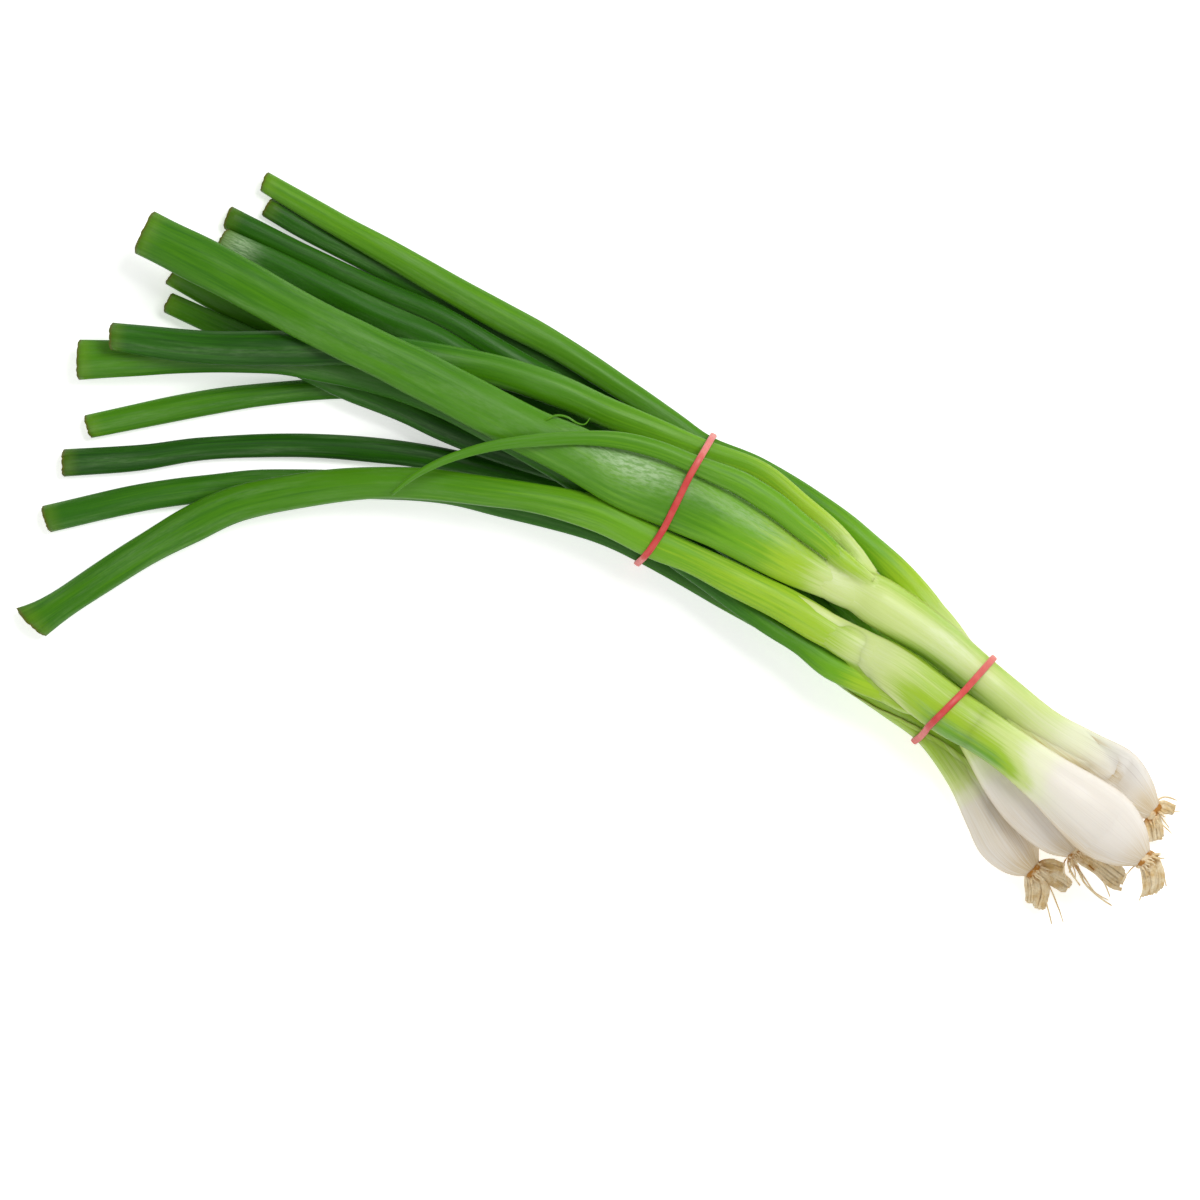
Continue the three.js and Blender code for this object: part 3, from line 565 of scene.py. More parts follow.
def newGroup(name, inputs, outputs):
    group = bpy.data.node_groups.new(name, "ShaderNodeTree")
    for label, kind, value in inputs:
        socket = group.interface.new_socket(label, in_out="INPUT", socket_type="NodeSocket" + kind)
        if value is not None:
            socket.default_value = value
    for label, kind in outputs:
        group.interface.new_socket(label, in_out="OUTPUT", socket_type="NodeSocket" + kind)
    return group, group.nodes.new("NodeGroupInput"), group.nodes.new("NodeGroupOutput")


def mathNode(tree, operation, a, b=None, clamp=False):
    node = tree.nodes.new("ShaderNodeMath")
    node.operation = operation
    node.use_clamp = clamp
    for socket, value in zip(node.inputs, (a, b)):
        if value is None:
            continue
        if isinstance(value, (int, float)):
            socket.default_value = value
        else:
            tree.links.new(value, socket)
    return node.outputs[0]


def remap(tree, value, lowIn, highIn, lowOut, highOut):
    node = tree.nodes.new("ShaderNodeMapRange")
    node.interpolation_type = "SMOOTHSTEP"
    tree.links.new(value, node.inputs[0])
    for socket, number in zip(node.inputs[1:5], (lowIn, highIn, lowOut, highOut)):
        socket.default_value = number
    return node.outputs[0]


def mixColour(tree, factor, a, b, blend="MIX"):
    node = tree.nodes.new("ShaderNodeMix")
    node.data_type = "RGBA"
    node.blend_type = blend
    for socket, value in ((node.inputs[0], factor), (node.inputs[6], a), (node.inputs[7], b)):
        if isinstance(value, str):
            socket.default_value = linear(value)
        elif isinstance(value, (int, float)):
            socket.default_value = value
        else:
            tree.links.new(value, socket)
    return node.outputs[2]


def noiseOf(tree, vector, scale, detail=2.0, roughness=0.5):
    node = tree.nodes.new("ShaderNodeTexNoise")
    node.inputs["Scale"].default_value = scale
    node.inputs["Detail"].default_value = detail
    node.inputs["Roughness"].default_value = roughness
    tree.links.new(vector, node.inputs["Vector"])
    return node.outputs["Fac"]


def stretched(tree, vector, scale):
    node = tree.nodes.new("ShaderNodeVectorMath")
    node.operation = "MULTIPLY"
    tree.links.new(vector, node.inputs[0])
    node.inputs[1].default_value = scale
    return node.outputs[0]


def attributeOf(tree, name, output="Fac"):
    node = tree.nodes.new("ShaderNodeAttribute")
    node.attribute_name = name
    return node.outputs[output]


growthSettings = {
    "stops": [(0.0, "EBE4DA"), (0.12, "E8EBC6"), (0.25, "CFE08A"), (0.4, "A3C82C"),
              (0.55, "6EA81C"), (0.7, "4C880C"), (0.85, "2E6A08"), (1.0, "184905")],
    # the whitish colour of wax and of the painted highlights laid with it
    "bloom": "B4CFA0",
    # dry papery skin, also laid as painted shade in the creases between bulbs
    "tan": "CDB27A",
    "edge": "9C9A55",
    "skinVein": "B7A9A6",
    # painted shade: dark green mixed in towards a leaf's outline
    "leafEdge": "1F4A0E",
    # painted shade: warm grey multiplied in towards a bulb's outline
    "bulbEdge": "C9B796",
    "rim": "6E6A24",
    "cutZone": "86A52A",
    "bulbBloomAndHighlight": "F2F4EC",
    "bloomAmount": 0.12,
}

# the hollow of a leaf and the face of its cut
veinedSettings = {
    "leafInside": {"roughness": 0.5, "fineness": 1.2, "dark": "6F9A38", "light": "9CBE5A", "depth": 0.15},
    "leafCut": {"roughness": 0.55, "fineness": 2.0, "dark": "7A6A2C", "light": "B4B060", "depth": 0.1},
}

fibreColours = {"light": "F0DFBC", "dark": "D8B97F", "fleck": "B4966A", "plate": "AE7426"}
# the pale coral is painted light on each band's end that faces the key light
rubberColours = {"dark": "CE3D3D", "light": "D9574F", "pale": "EA8F84", "fleck": "B83F45"}


def buildVeins():
    # fine lengthwise veins, in the strand's own directions
    tree, entry, leave = newGroup("lengthwiseVeins",
                                  [("Grain", "Vector", None), ("Fineness", "Float", 1.0)],
                                  [("Veins", "Float"), ("Streaks", "Float")])
    long = stretched(tree, entry.outputs["Grain"], (1, 1, 0.022))
    finer = tree.nodes.new("ShaderNodeVectorMath")
    finer.operation = "SCALE"
    tree.links.new(long, finer.inputs[0])
    tree.links.new(entry.outputs["Fineness"], finer.inputs["Scale"])
    tree.links.new(noiseOf(tree, finer.outputs[0], 4.2, 2.0, 0.6), leave.inputs["Veins"])
    tree.links.new(noiseOf(tree, finer.outputs[0], 1.2, 2.0, 0.5), leave.inputs["Streaks"])
    return tree


def buildGrowth():
    # the plant's colour from white bulb to dark leaf end
    tree, entry, leave = newGroup("growthColour",
                                  [("Tone", "Float", 0.5), ("Veins", "Float", 0.5),
                                   ("Streaks", "Float", 0.5), ("Unevenness", "Float", 0.1)],
                                  [("Color", "Color")])
    veins = mathNode(tree, "SUBTRACT", entry.outputs["Veins"], 0.5)
    streaks = mathNode(tree, "SUBTRACT", entry.outputs["Streaks"], 0.5)
    both = mathNode(tree, "ADD", mathNode(tree, "MULTIPLY", veins, 0.7), streaks)
    # hardly any unevenness in the white
    share = remap(tree, entry.outputs["Tone"], 0.02, 0.35, 0.08, 1.0)
    both = mathNode(tree, "MULTIPLY", both, mathNode(tree, "MULTIPLY", share, entry.outputs["Unevenness"]))
    tone = mathNode(tree, "ADD", entry.outputs["Tone"], both, clamp=True)
    ramp = tree.nodes.new("ShaderNodeValToRGB")
    ramp.color_ramp.interpolation = "EASE"
    stops = growthSettings["stops"]
    while len(ramp.color_ramp.elements) < len(stops):
        ramp.color_ramp.elements.new(0.5)
    for element, (place, colour) in zip(ramp.color_ramp.elements, stops):
        element.position = place
        element.color = linear(colour)
    tree.links.new(tone, ramp.inputs["Fac"])
    tree.links.new(ramp.outputs["Color"], leave.inputs["Color"])
    return tree


def buildBloomAndHighlight():
    # a faint waxy bloom in soft patches that run with the strand; the Extra input adds listed patches, partly
    # wax and partly painted highlight
    tree, entry, leave = newGroup("waxBloomAndHighlight",
                                  [("Grain", "Vector", None), ("Amount", "Float", 0.3),
                                   ("Extra", "Float", 0.0)],
                                  [("Mask", "Float")])
    patch = noiseOf(tree, stretched(tree, entry.outputs["Grain"], (0.35, 0.35, 0.03)), 1.0, 3.0, 0.6)
    grit = noiseOf(tree, stretched(tree, entry.outputs["Grain"], (2.5, 2.5, 0.35)), 1.0, 3.0, 0.7)
    mask = mathNode(tree, "MULTIPLY", remap(tree, patch, 0.42, 0.72, 0, 1),
                    remap(tree, grit, 0.3, 0.7, 0.35, 1))
    mask = mathNode(tree, "MULTIPLY", mask, entry.outputs["Amount"])
    extra = mathNode(tree, "MULTIPLY", entry.outputs["Extra"], remap(tree, grit, 0.35, 0.65, 0.3, 1))
    tree.links.new(mathNode(tree, "ADD", mask, extra, clamp=True), leave.inputs["Mask"])
    return tree


veinsGroup, growthGroup, bloomAndHighlightGroup = buildVeins(), buildGrowth(), buildBloomAndHighlight()


def newMaterial(name, glow=None, **sockets):
    # glow is how light spreads under the surface: its share of red, green and blue, and its reach
    material = bpy.data.materials.new(name)
    material.use_nodes = True
    tree = material.node_tree
    shader = tree.nodes["Principled BSDF"]
    for key, value in sockets.items():
        shader.inputs[key.replace("_", " ")].default_value = value
    if glow:
        shader.inputs["Subsurface Radius"].default_value = glow[0]
        shader.inputs["Subsurface Scale"].default_value = glow[1] * mm
    return material, tree, shader


def outlineShadeOf(tree, blend):
    # 0 where a surface is seen straight on, rising towards its outline; the mask for painted outline shade
    node = tree.nodes.new("ShaderNodeLayerWeight")
    node.inputs["Blend"].default_value = blend
    return node.outputs["Facing"]


def useGroup(tree, group, values=None, **links):
    node = tree.nodes.new("ShaderNodeGroup")
    node.node_tree = group
    for key, value in (values or {}).items():
        node.inputs[key].default_value = value
    for key, socket in links.items():
        tree.links.new(socket, node.inputs[key])
    return node


def bumpInto(tree, shader, height, strength, distance):
    bump = tree.nodes.new("ShaderNodeBump")
    bump.inputs["Strength"].default_value = strength
    bump.inputs["Distance"].default_value = distance * mm
    tree.links.new(height, bump.inputs["Height"])
    tree.links.new(bump.outputs["Normal"], shader.inputs["Normal"])


def grownSkin(tree, fineness, unevenness, bloomAndHighlightColour):
    # what leaves and bulbs share: their veins, their own colour and the whitish bloom on it, which is partly
    # wax and partly painted highlight
    grain = attributeOf(tree, "grain", "Vector")
    veins = useGroup(tree, veinsGroup, {"Fineness": fineness}, Grain=grain)
    growth = useGroup(tree, growthGroup, {"Unevenness": unevenness}, Tone=attributeOf(tree, "tone"),
                      Veins=veins.outputs["Veins"], Streaks=veins.outputs["Streaks"])
    bloom = useGroup(tree, bloomAndHighlightGroup, {"Amount": growthSettings["bloomAmount"]}, Grain=grain,
                     Extra=attributeOf(tree, "bloom"))
    colour = mixColour(tree, bloom.outputs["Mask"], growth.outputs["Color"], bloomAndHighlightColour)
    return grain, veins, bloom, colour


def leafSkinMaterial():
    material, tree, shader = newMaterial("leafSkin", ((0.4, 1.0, 0.2), 0.8), Roughness=0.4,
                                         Specular_IOR_Level=0.2, Subsurface_Weight=0.05)
    _, veins, bloom, colour = grownSkin(tree, 1.0, 0.17, growthSettings["bloom"])
    cut = attributeOf(tree, "cut")
    colour = mixColour(tree, remap(tree, cut, 0.5, 5.0, 0.22, 0), colour, growthSettings["cutZone"])
    colour = mixColour(tree, remap(tree, cut, 0.1, 0.8, 0.8, 0), colour, growthSettings["rim"])
    # painted shade: the leaf darkens towards its outline as the camera sees it
    edge = remap(tree, outlineShadeOf(tree, 0.35), 0.35, 1.0, 0, 0.55)
    colour = mixColour(tree, edge, colour, growthSettings["leafEdge"])
    tree.links.new(colour, shader.inputs["Base Color"])
    rough = mathNode(tree, "ADD", remap(tree, veins.outputs["Streaks"], 0.3, 0.7, 0.33, 0.43),
                     mathNode(tree, "MULTIPLY", bloom.outputs["Mask"], 0.5))
    tree.links.new(rough, shader.inputs["Roughness"])
    bumpInto(tree, shader, veins.outputs["Veins"], 0.4, 0.12)
    return material


def veinedMaterial(name, roughness, fineness, dark, light, depth):
    # two colours in fine lengthwise veins
    material, tree, shader = newMaterial(name, Roughness=roughness)
    veins = useGroup(tree, veinsGroup, {"Fineness": fineness}, Grain=attributeOf(tree, "grain", "Vector"))
    colour = mixColour(tree, veins.outputs["Veins"], dark, light)
    tree.links.new(colour, shader.inputs["Base Color"])
    bumpInto(tree, shader, veins.outputs["Veins"], 0.4, depth)
    return material


def bulbSkinMaterial():
    material, tree, shader = newMaterial("bulbSkin", ((1.0, 0.9, 0.7), 2.2), Roughness=0.4,
                                         Specular_IOR_Level=0.35, Subsurface_Weight=0.2,
                                         Coat_Weight=0.05, Coat_Roughness=0.25)
    grain, veins, _, colour = grownSkin(tree, 0.8, 0.16, growthSettings["bulbBloomAndHighlight"])
    edge = remap(tree, attributeOf(tree, "edge"), 0.1, 1.0, 0, 0.7)
    colour = mixColour(tree, edge, colour, growthSettings["edge"])
    lines = noiseOf(tree, stretched(tree, grain, (2.4, 2.4, 0.03)), 1.0, 1.0)
    lines = mathNode(tree, "MULTIPLY", remap(tree, lines, 0.56, 0.66, 0, 1),
                     mathNode(tree, "ADD", attributeOf(tree, "vein"), 0.06))
    colour = mixColour(tree, lines, colour, growthSettings["skinVein"], "MULTIPLY")
    # tan: dry papery skin, and in places painted crease shade between bulbs
    papery = mathNode(tree, "ADD", attributeOf(tree, "tan"), attributeOf(tree, "dry"))
    papery = mathNode(tree, "MULTIPLY", papery, remap(tree, veins.outputs["Veins"], 0.35, 0.6, 0.25, 1))
    colour = mixColour(tree, papery, colour, growthSettings["tan"])
    # painted shade: the bulb skin darkens to a warm grey towards its outline as the camera sees it
    rim = remap(tree, outlineShadeOf(tree, 0.35), 0.3, 1.0, 0, 0.75)
    colour = mixColour(tree, rim, colour, growthSettings["bulbEdge"], "MULTIPLY")
    tree.links.new(colour, shader.inputs["Base Color"])
    rough = remap(tree, veins.outputs["Streaks"], 0.3, 0.7, 0.36, 0.46)
    tree.links.new(rough, shader.inputs["Roughness"])
    bumpInto(tree, shader, veins.outputs["Veins"], 0.3, 0.12)
    return material


def rootFibreMaterial():
    look = fibreColours
    material, tree, shader = newMaterial("rootFibre", ((1.0, 0.8, 0.6), 0.5), Roughness=0.75,
                                         Subsurface_Weight=0.1)
    place = tree.nodes.new("ShaderNodeTexCoord").outputs["Object"]
    patch = noiseOf(tree, place, 320, 3.0, 0.6)
    fine = noiseOf(tree, place, 1500, 3.0, 0.7)
    thread = mixColour(tree, remap(tree, patch, 0.35, 0.7, 0, 1), look["light"], look["dark"])
    thread = mixColour(tree, remap(tree, fine, 0.5, 0.75, 0, 0.4), thread, look["fleck"])
    tone = attributeOf(tree, "tone")
    spots = mathNode(tree, "MULTIPLY", remap(tree, tone, 0.02, 0.4, 1, 0),
                     remap(tree, patch, 0.42, 0.56, 0.15, 1))
    colour = mixColour(tree, spots, thread, look["plate"])
    tree.links.new(colour, shader.inputs["Base Color"])
    bumpInto(tree, shader, fine, 0.6, 0.2)
    return material


def rubberMaterial():
    look = rubberColours
    material, tree, shader = newMaterial("rubber", ((1.0, 0.3, 0.25), 0.8), Roughness=0.42,
                                         Specular_IOR_Level=0.45, Subsurface_Weight=0.15)
    grain = attributeOf(tree, "grain", "Vector")
    patch = noiseOf(tree, grain, 0.25, 2.0)
    fine = noiseOf(tree, grain, 4.0, 3.0, 0.6)
    colour = mixColour(tree, remap(tree, patch, 0.3, 0.7, 0, 1), look["dark"], look["light"])
    # painted light: paler coral towards the band's end that faces the key light
    colour = mixColour(tree, attributeOf(tree, "pale"), colour, look["pale"])
    colour = mixColour(tree, remap(tree, fine, 0.5, 0.8, 0, 0.35), colour, look["fleck"])
    tree.links.new(colour, shader.inputs["Base Color"])
    bumpInto(tree, shader, fine, 0.35, 0.12)
    return material


leafSkin = leafSkinMaterial()
leafInside, leafCut = (veinedMaterial(name, **look) for name, look in veinedSettings.items())
bulbSkin, rootFibre, rubber = bulbSkinMaterial(), rootFibreMaterial(), rubberMaterial()
print("materials made")


# leaves are hollow, flattened tubes with a knife-cut end

leafSettings = {
    "sides": 36,
    "step": 1.9,
    "wall": 0.42,
    "lens": 0.16,          # how much the section is pinched towards its two edges
    "facets": 0.07,        # shallow lengthwise planes
    "ribs": 0.02,          # fine ribs, as a share of the thickness
    "ribCount": 15,
    "wobble": 0.035,       # slow changes in width
    "twist": 4.0,
    "baseSlim": 0.82,      # the leaf is slimmer where it sits inside the collar
    "footSlim": 0.9,       # and slimmer still at its very foot, unless it says otherwise
    "footReach": 8,
    "collarReach": 30.0,
    "grainScale": 4,
    "cutProud": 1.1,       # how far the cut end stands out past the strand's last point
    "cutReach": 2.5,
    "cutRagged": 0.16,
    "cutRound": 0.7,
    "flareReach": 3.0,
}

shredSettings = {
    "tone": 0.66,
    "stops": 28,
    "taper": 0.6,
    "flatness": 0.4,
}


def curveThrough(points, count):
    rows = np.array(points, float)
    return smoothAt(rows, np.linspace(0, len(rows) - 1, count))


def fibre(points, half, thick, sides=6):
    # a thin, slightly flattened strand
    points = np.array(points)
    along = np.gradient(points, axis=0)
    along /= np.linalg.norm(along, axis=1)[:, None]
    side = np.cross([0.05, 0.03, 1], along)
    side /= np.linalg.norm(side, axis=1)[:, None]
    path = {"middle": points, "half": half, "thick": thick, "side": side, "up": np.cross(along, side)}
    rings = roundRings(path, sides)
    rings[..., 2] = np.maximum(rings[..., 2], floorClear)
    part, column, _ = rolledTube("fibre", rings)
    addAttribute(part, "tone", column / (len(points) - 1))
    inEditMode(part, weldSeam, capEnds)
    return part


def footSize(strand, run):
    # a leaf is slimmer at its very foot
    foot = strand.get("foot", leafSettings["footSlim"])
    return foot + (1 - foot) * easeTo(run, 0, leafSettings["footReach"])


def leafSection(strand, path, seed):
    # the section's shares of half width and half thickness, ring by ring
    look = leafSettings
    angles = np.linspace(0, 2 * math.pi, look["sides"], endpoint=False)[None]
    run = path["run"][:, None]
    turn = np.radians(waves(seed + 5, path["run"], 160, look["twist"]))[:, None]
    width = 1 + waves(seed, path["run"], 70, look["wobble"])[:, None]
    facets = look["facets"] * np.sin(3 * angles + waves(seed + 1, path["run"], 150, 2.0)[:, None])
    planes = np.sin(5 * angles + waves(seed + 2, path["run"], 90, 2.0)[:, None])
    facets = facets + look["facets"] * 0.6 * planes
    ribs = look["ribs"] * np.sin(look["ribCount"] * angles + waves(seed + 3, path["run"], 120, 1.5)[:, None])
    size = 1 + facets * 0.6 + ribs
    slim = look["baseSlim"] + (1 - look["baseSlim"]) * easeTo(run, 2, look["collarReach"] * 0.75)
    slim = slim * footSize(strand, run)
    across = np.sin(angles) * width * slim
    rise = np.cos(angles) * size * (1 - look["lens"] * np.sin(angles) ** 2) * slim
    # a slight turn of the flat section about the strand
    ratio = (path["thick"] / path["half"])[:, None]
    turned = across * np.cos(turn) + rise * ratio * np.sin(turn)
    lifted = rise * np.cos(turn) - across / ratio * np.sin(turn)
    return angles, turned, lifted


lookNames = ("tone", "bloom", "tan", "vein")


def strandLooks(strand, run, theta):
    # tone along the strand, and soft patches: (what, distance, reach, angle, spread, amount)
    stops, tones = zip(*strand["tones"])
    looks = {name: run * 0.0 for name in lookNames}
    looks["tone"] = np.interp(run, stops, tones)
    for what, place, reach, angle, spread, amount in strand.get("patches", ()):
        around = (np.degrees(theta) - angle + 180) % 360 - 180
        looks[what] = looks[what] + amount * np.exp(-((run - place) / reach) ** 2 - (around / spread) ** 2)
    return looks


def growShreds(strand):
    # thin curls torn from a leaf's edge, seen from above, with heights over the leaf's middle
    look = shredSettings
    path = finePath(strand, leafSettings["step"])
    shreds = []
    for route, half in strand.get("shreds", ()):
        line = curveThrough(route, look["stops"])
        gaps = np.linalg.norm(path["middle"][None, :, :2] - line[:, None, :2], axis=2)
        line[:, 2] += path["middle"][gaps.argmin(axis=1), 2]
        halves = half * (1 - look["taper"] * np.linspace(0, 1, look["stops"]) ** 2)
        shred = fibre(line, halves, halves * look["flatness"])
        count = len(shred.data.vertices)
        shred.data.attributes["tone"].data.foreach_set("value", [look["tone"]] * count)
        addAttribute(shred, "grain", pointsOf(shred))
        for name in lookNames[1:]:
            addAttribute(shred, name, np.zeros(count))
        addAttribute(shred, "cut", np.full(count, uncut))
        shred.data.materials.append(leafSkin)
        shreds.append(shred)
    return shreds


def growLeaf(strand, seed):
    look = leafSettings
    path = finePath(strand, look["step"])
    angles, across, rise = leafSection(strand, path, seed)
    rings, wide = ovalRings(path, across, rise)
    # the knife's cut is slanted and a little ragged
    fromEnd = path["run"][-1] - path["run"]
    nearEnd = np.exp(-fromEnd / look["cutReach"])[:, None]
    rng = random.Random(seed)
    ragged = np.array([rng.uniform(-1, 1) for _ in range(look["sides"])])[None] * look["cutRagged"]
    slant = math.tan(math.radians(strand.get("cutSlant", strand["slant"])))
    push = (wide * slant + look["cutProud"]) * nearEnd + ragged * nearEnd ** 3
    push = push - look["cutRound"] * abs(np.sin(angles)) ** 6 * nearEnd
    if not strand.get("tip"):
        rings = rings + push[..., None] * path["along"][:, None]
    beak = np.maximum(np.sin(angles), 0) ** 3
    flare = strand.get("flare", 0) * np.exp(-fromEnd / look["flareReach"])[:, None] * beak
    rings = rings - flare[..., None] * path["side"][:, None]
    rings[..., 2] = np.maximum(rings[..., 2], floorClear)
    leaf, column, row = rolledTube(pieceName(strand["node"]), rings)
    theta = angles[0][row]
    run = path["run"][column]
    addGrain(leaf, theta, run, look["grainScale"], seed)
    for name, values in strandLooks(strand, run, theta).items():
        addAttribute(leaf, name, values)
    addAttribute(leaf, "cut", (path["run"][-1] - run) if not strand.get("tip") else run * 0 + uncut)
    inEditMode(leaf, weldSeam)
    for material in (leafSkin, leafInside, leafCut):
        leaf.data.materials.append(material)
    if strand.get("tip"):
        inEditMode(leaf, capEnds)
    else:
        applyModifier(leaf, "SOLIDIFY", thickness=look["wall"] * mm, offset=-1, use_rim=True,
                      material_offset=1, material_offset_rim=2)
    shreds = growShreds(strand)
    if shreds:
        joinInto(leaf, shreds)
    finishPiece(leaf, "leaf", strand["node"])
    return leaf


# bulbs with their shafts, and the collars from which the leaves grow

bulbSettings = {
    "sides": 48,
    "step": 1.2,
    "voxel": 0.5,
    "softening": 5,
    "collarSoftening": 45,
    "collarReach": (9, 24),
    "endTaper": (0.12, 0.5),     # of the width and of the thickness
    "taperReach": 14,
    "stubStep": 1.4,
    "stubSize": 1.05,
    "stubThins": 0.35,           # how much of that it loses where it ends inside the leaf
    "stubSides": 24,
    "webStops": 24,
    "grainScale": 8,
    "sheathTint": 0.85,          # how fully a sheath's own tone covers the shaft's
    "ribs": 0.006,
    "ribCount": 26,
}

sheathSettings = {
    "grid": (110, 70),
    "pathStep": 1.0,
    "overlap": 2,          # how far past the shaft's end its leaf takes over
    "roundings": 30,
    "skin": 0.6,
    "dive": 0.9,           # how deep a skin dives into the shaft at its hidden edges
    "rise": 26,            # the distances over which it comes up from its start
    "sink": 12,            # and goes down at its end
    "liftReach": 9,
    "edgeReach": 0.9,
    "dryReach": 6,
    "angleScale": 0.12,    # millimetres round the shaft for each degree
    "toneFrom": (0.35, 0.85),
}

# skins wrapped round shafts: the leaf they run on along, where they start and end on the joined
# path, the angles of their two sides along it (degrees from the top, positive to the right of the
# way the leaf grows) and which of their edges lie free
sheaths = {
    "onion_c_bulb": [{"leaf": "onion_c_leaf_2", "start": 46, "tone": 0.24, "free": "end",
                      "lift": (0.05, 0.5), "edge": 0,
                      "from": [(0, -150)], "to": [(0, 112)],
                      "end": [(0, 66), (0.25, 88), (0.38, 97), (0.5, 104), (0.62, 112),
                              (0.75, 122), (0.86, 128), (1, 120)]}],
    "onion_a_bulb": [{"leaf": "onion_a_leaf_1", "start": 7, "free": "to", "lip": 5,
                      "lift": (0.5, 0.5), "edge": 1,
                      "from": [(0, -160)], "end": [(0, 84), (1, 84)],
                      "to": [(7, -5), (20, 15), (28, 25), (36, 33), (42, 12), (52, -17), (66, -48),
                             (84, -80)]}],
    "onion_d_bulb": [{"leaf": "onion_d_leaf_3", "start": 11, "free": "from", "lip": 5,
                      "lift": (0.8, 0.8), "edge": 0.5,
                      "from": [(11, 30), (14, 5), (24, -20), (33, -36), (42, -48), (60, -85)],
                      "to": [(0, 150)], "end": [(0, 58), (1, 62)]},
                     {"leaf": "onion_d_leaf_3", "start": 3, "free": "end",
                      "lift": (0.06, 0.16), "edge": 0, "dry": 0.8,
                      "rise": 9, "from": [(0, -100)], "to": [(0, 100)],
                      "end": [(0, 46), (0.14, 42), (0.24, 38), (0.3, 34.5), (0.34, 30),
                              (0.39, 28), (0.44, 23), (0.48, 19.5), (0.53, 18), (0.57, 18.5),
                              (0.62, 22), (0.66, 23), (0.72, 27), (0.85, 31), (1, 36)]}],
}


def stub(strand, reach):
    # the foot of a leaf, which thins out inside the leaf
    path = finePath(strand, bulbSettings["stubStep"])
    keep = path["run"] < reach
    path = {key: value[keep] for key, value in path.items()}
    thinner = bulbSettings["stubThins"] * easeTo(path["run"], reach * 0.3, reach)
    size = ((bulbSettings["stubSize"] - thinner) * footSize(strand, path["run"]))[:, None]
    part, _, _ = rolledTube("stub", roundRings(path, bulbSettings["stubSides"], size))
    inEditMode(part, weldSeam, capEnds)
    return part


def webs(strand, path):
    # flesh that fills the fork between a shaft's leaves: (ahead, aside, lift, half, thick)
    parts = []
    stops = bulbSettings["webStops"]
    end, heading, side, up = (path[key][-1] for key in ("middle", "along", "side", "up"))
    for route in strand.get("webs", ()):
        line = curveThrough(route, stops)
        middle = end + line[:, :1] * heading + line[:, 1:2] * side + line[:, 2:3] * np.array([0, 0, 1])
        web = {"middle": middle, "half": line[:, 3], "thick": line[:, 4],
               "side": np.tile(side, (stops, 1)), "up": np.tile(up, (stops, 1))}
        part, _, _ = rolledTube("web", roundRings(web, bulbSettings["stubSides"]))
        inEditMode(part, weldSeam, capEnds)
        parts.append(part)
    return parts


def joinedPath(shaft, leaf):
    # a path up the shaft and on along one of its leaves, softened where they meet
    first, second = (finePath(strand, sheathSettings["pathStep"]) for strand in (shaft, leaf))
    past = (second["middle"] - first["middle"][-1]) @ first["along"][-1] > sheathSettings["overlap"]
    both = {key: np.concatenate([first[key][:-3], second[key][past]])
            for key in ("middle", "half", "thick", "side", "up", "along")}
    for _ in range(sheathSettings["roundings"]):
        for key, values in both.items():
            values[1:-1] = (values[:-2] + 2 * values[1:-1] + values[2:]) / 4
    steps = np.linalg.norm(np.diff(both["middle"], axis=0), axis=1)
    return {**both, "run": np.append(0, np.cumsum(steps))}


def wrapSheath(shaft, look):
    # a thin skin wrapped round part of a shaft
    fixed = sheathSettings
    path = joinedPath(shaft, byNode[look["leaf"]])
    rows, columns = fixed["grid"]
    around = np.linspace(0, 1, columns)[None]
    shares = np.linspace(0, 1, rows)[:, None]
    ends = np.interp(around, *zip(*look["end"])) + waves(len(look["leaf"]), around, 0.5, 0.8)
    places = look["start"] + (ends - look["start"]) * shares
    sides = [np.interp(places, *zip(*look[key])) + waves(k + 4, places, 17, 2.5)
             for k, key in enumerate(("from", "to"))]
    angles = np.radians(sides[0] + (sides[1] - sides[0]) * around)
    # how far from the free edge each point is, in millimetres
    reach = {
        "end": ends - places,
        "from": around * (sides[1] - sides[0]) * fixed["angleScale"],
        "to": (1 - around) * (sides[1] - sides[0]) * fixed["angleScale"],
    }[look["free"]]
    # the skin dives into the shaft everywhere but at its free edge
    hidden = {
        "start": 1 - easeTo(places - look["start"], 0, look.get("rise", fixed["rise"])),
        "from": 1 - easeTo(around, 0, 0.25),
        "to": easeTo(around, 0.75, 1),
        "end": 1 - easeTo(ends - places, 0, fixed["sink"]),
        "lip": easeTo(reach, 0, look["lip"]) if "lip" in look else reach * 0,
    }
    dive = np.max([np.broadcast_to(hidden[key], angles.shape) for key in hidden if key != look["free"]],
                  axis=0)
    # and lies lower at that edge than farther in
    low, full = look["lift"]
    lift = low + (full - low) * easeTo(reach, 0, fixed["liftReach"])
    lift = lift * (1 - dive) - fixed["dive"] * dive

    def along(key):
        values = path[key] if path[key].ndim == 2 else path[key][:, None]
        return np.stack([np.interp(places, path["run"], values[:, k])
                         for k in range(values.shape[1])], axis=2)
    wide = (along("half") + lift[..., None]) * np.sin(angles)[..., None]
    high = (along("thick") + lift[..., None]) * np.cos(angles)[..., None]
    points = along("middle") - wide * along("side") + high * along("up")
    skin, row, column = flatGrid(rows - 1, columns - 1)
    movePoints(skin, points[row, column])
    inEditMode(skin, bpy.ops.mesh.flip_normals)
    apart = np.broadcast_to(reach, angles.shape)[row, column]
    addAttribute(skin, "edge", np.clip(1 - apart / fixed["edgeReach"], 0, 1) * look["edge"])
    addAttribute(skin, "dry", np.clip(1 - apart / fixed["dryReach"], 0, 1) * look.get("dry", 0))
    strength = easeTo(shares, *fixed["toneFrom"]) * (look.get("tone") is not None)
    addAttribute(skin, "sheath", np.broadcast_to(strength, angles.shape)[row, column])
    applyModifier(skin, "SOLIDIFY", thickness=fixed["skin"] * mm, offset=-1)
    return skin


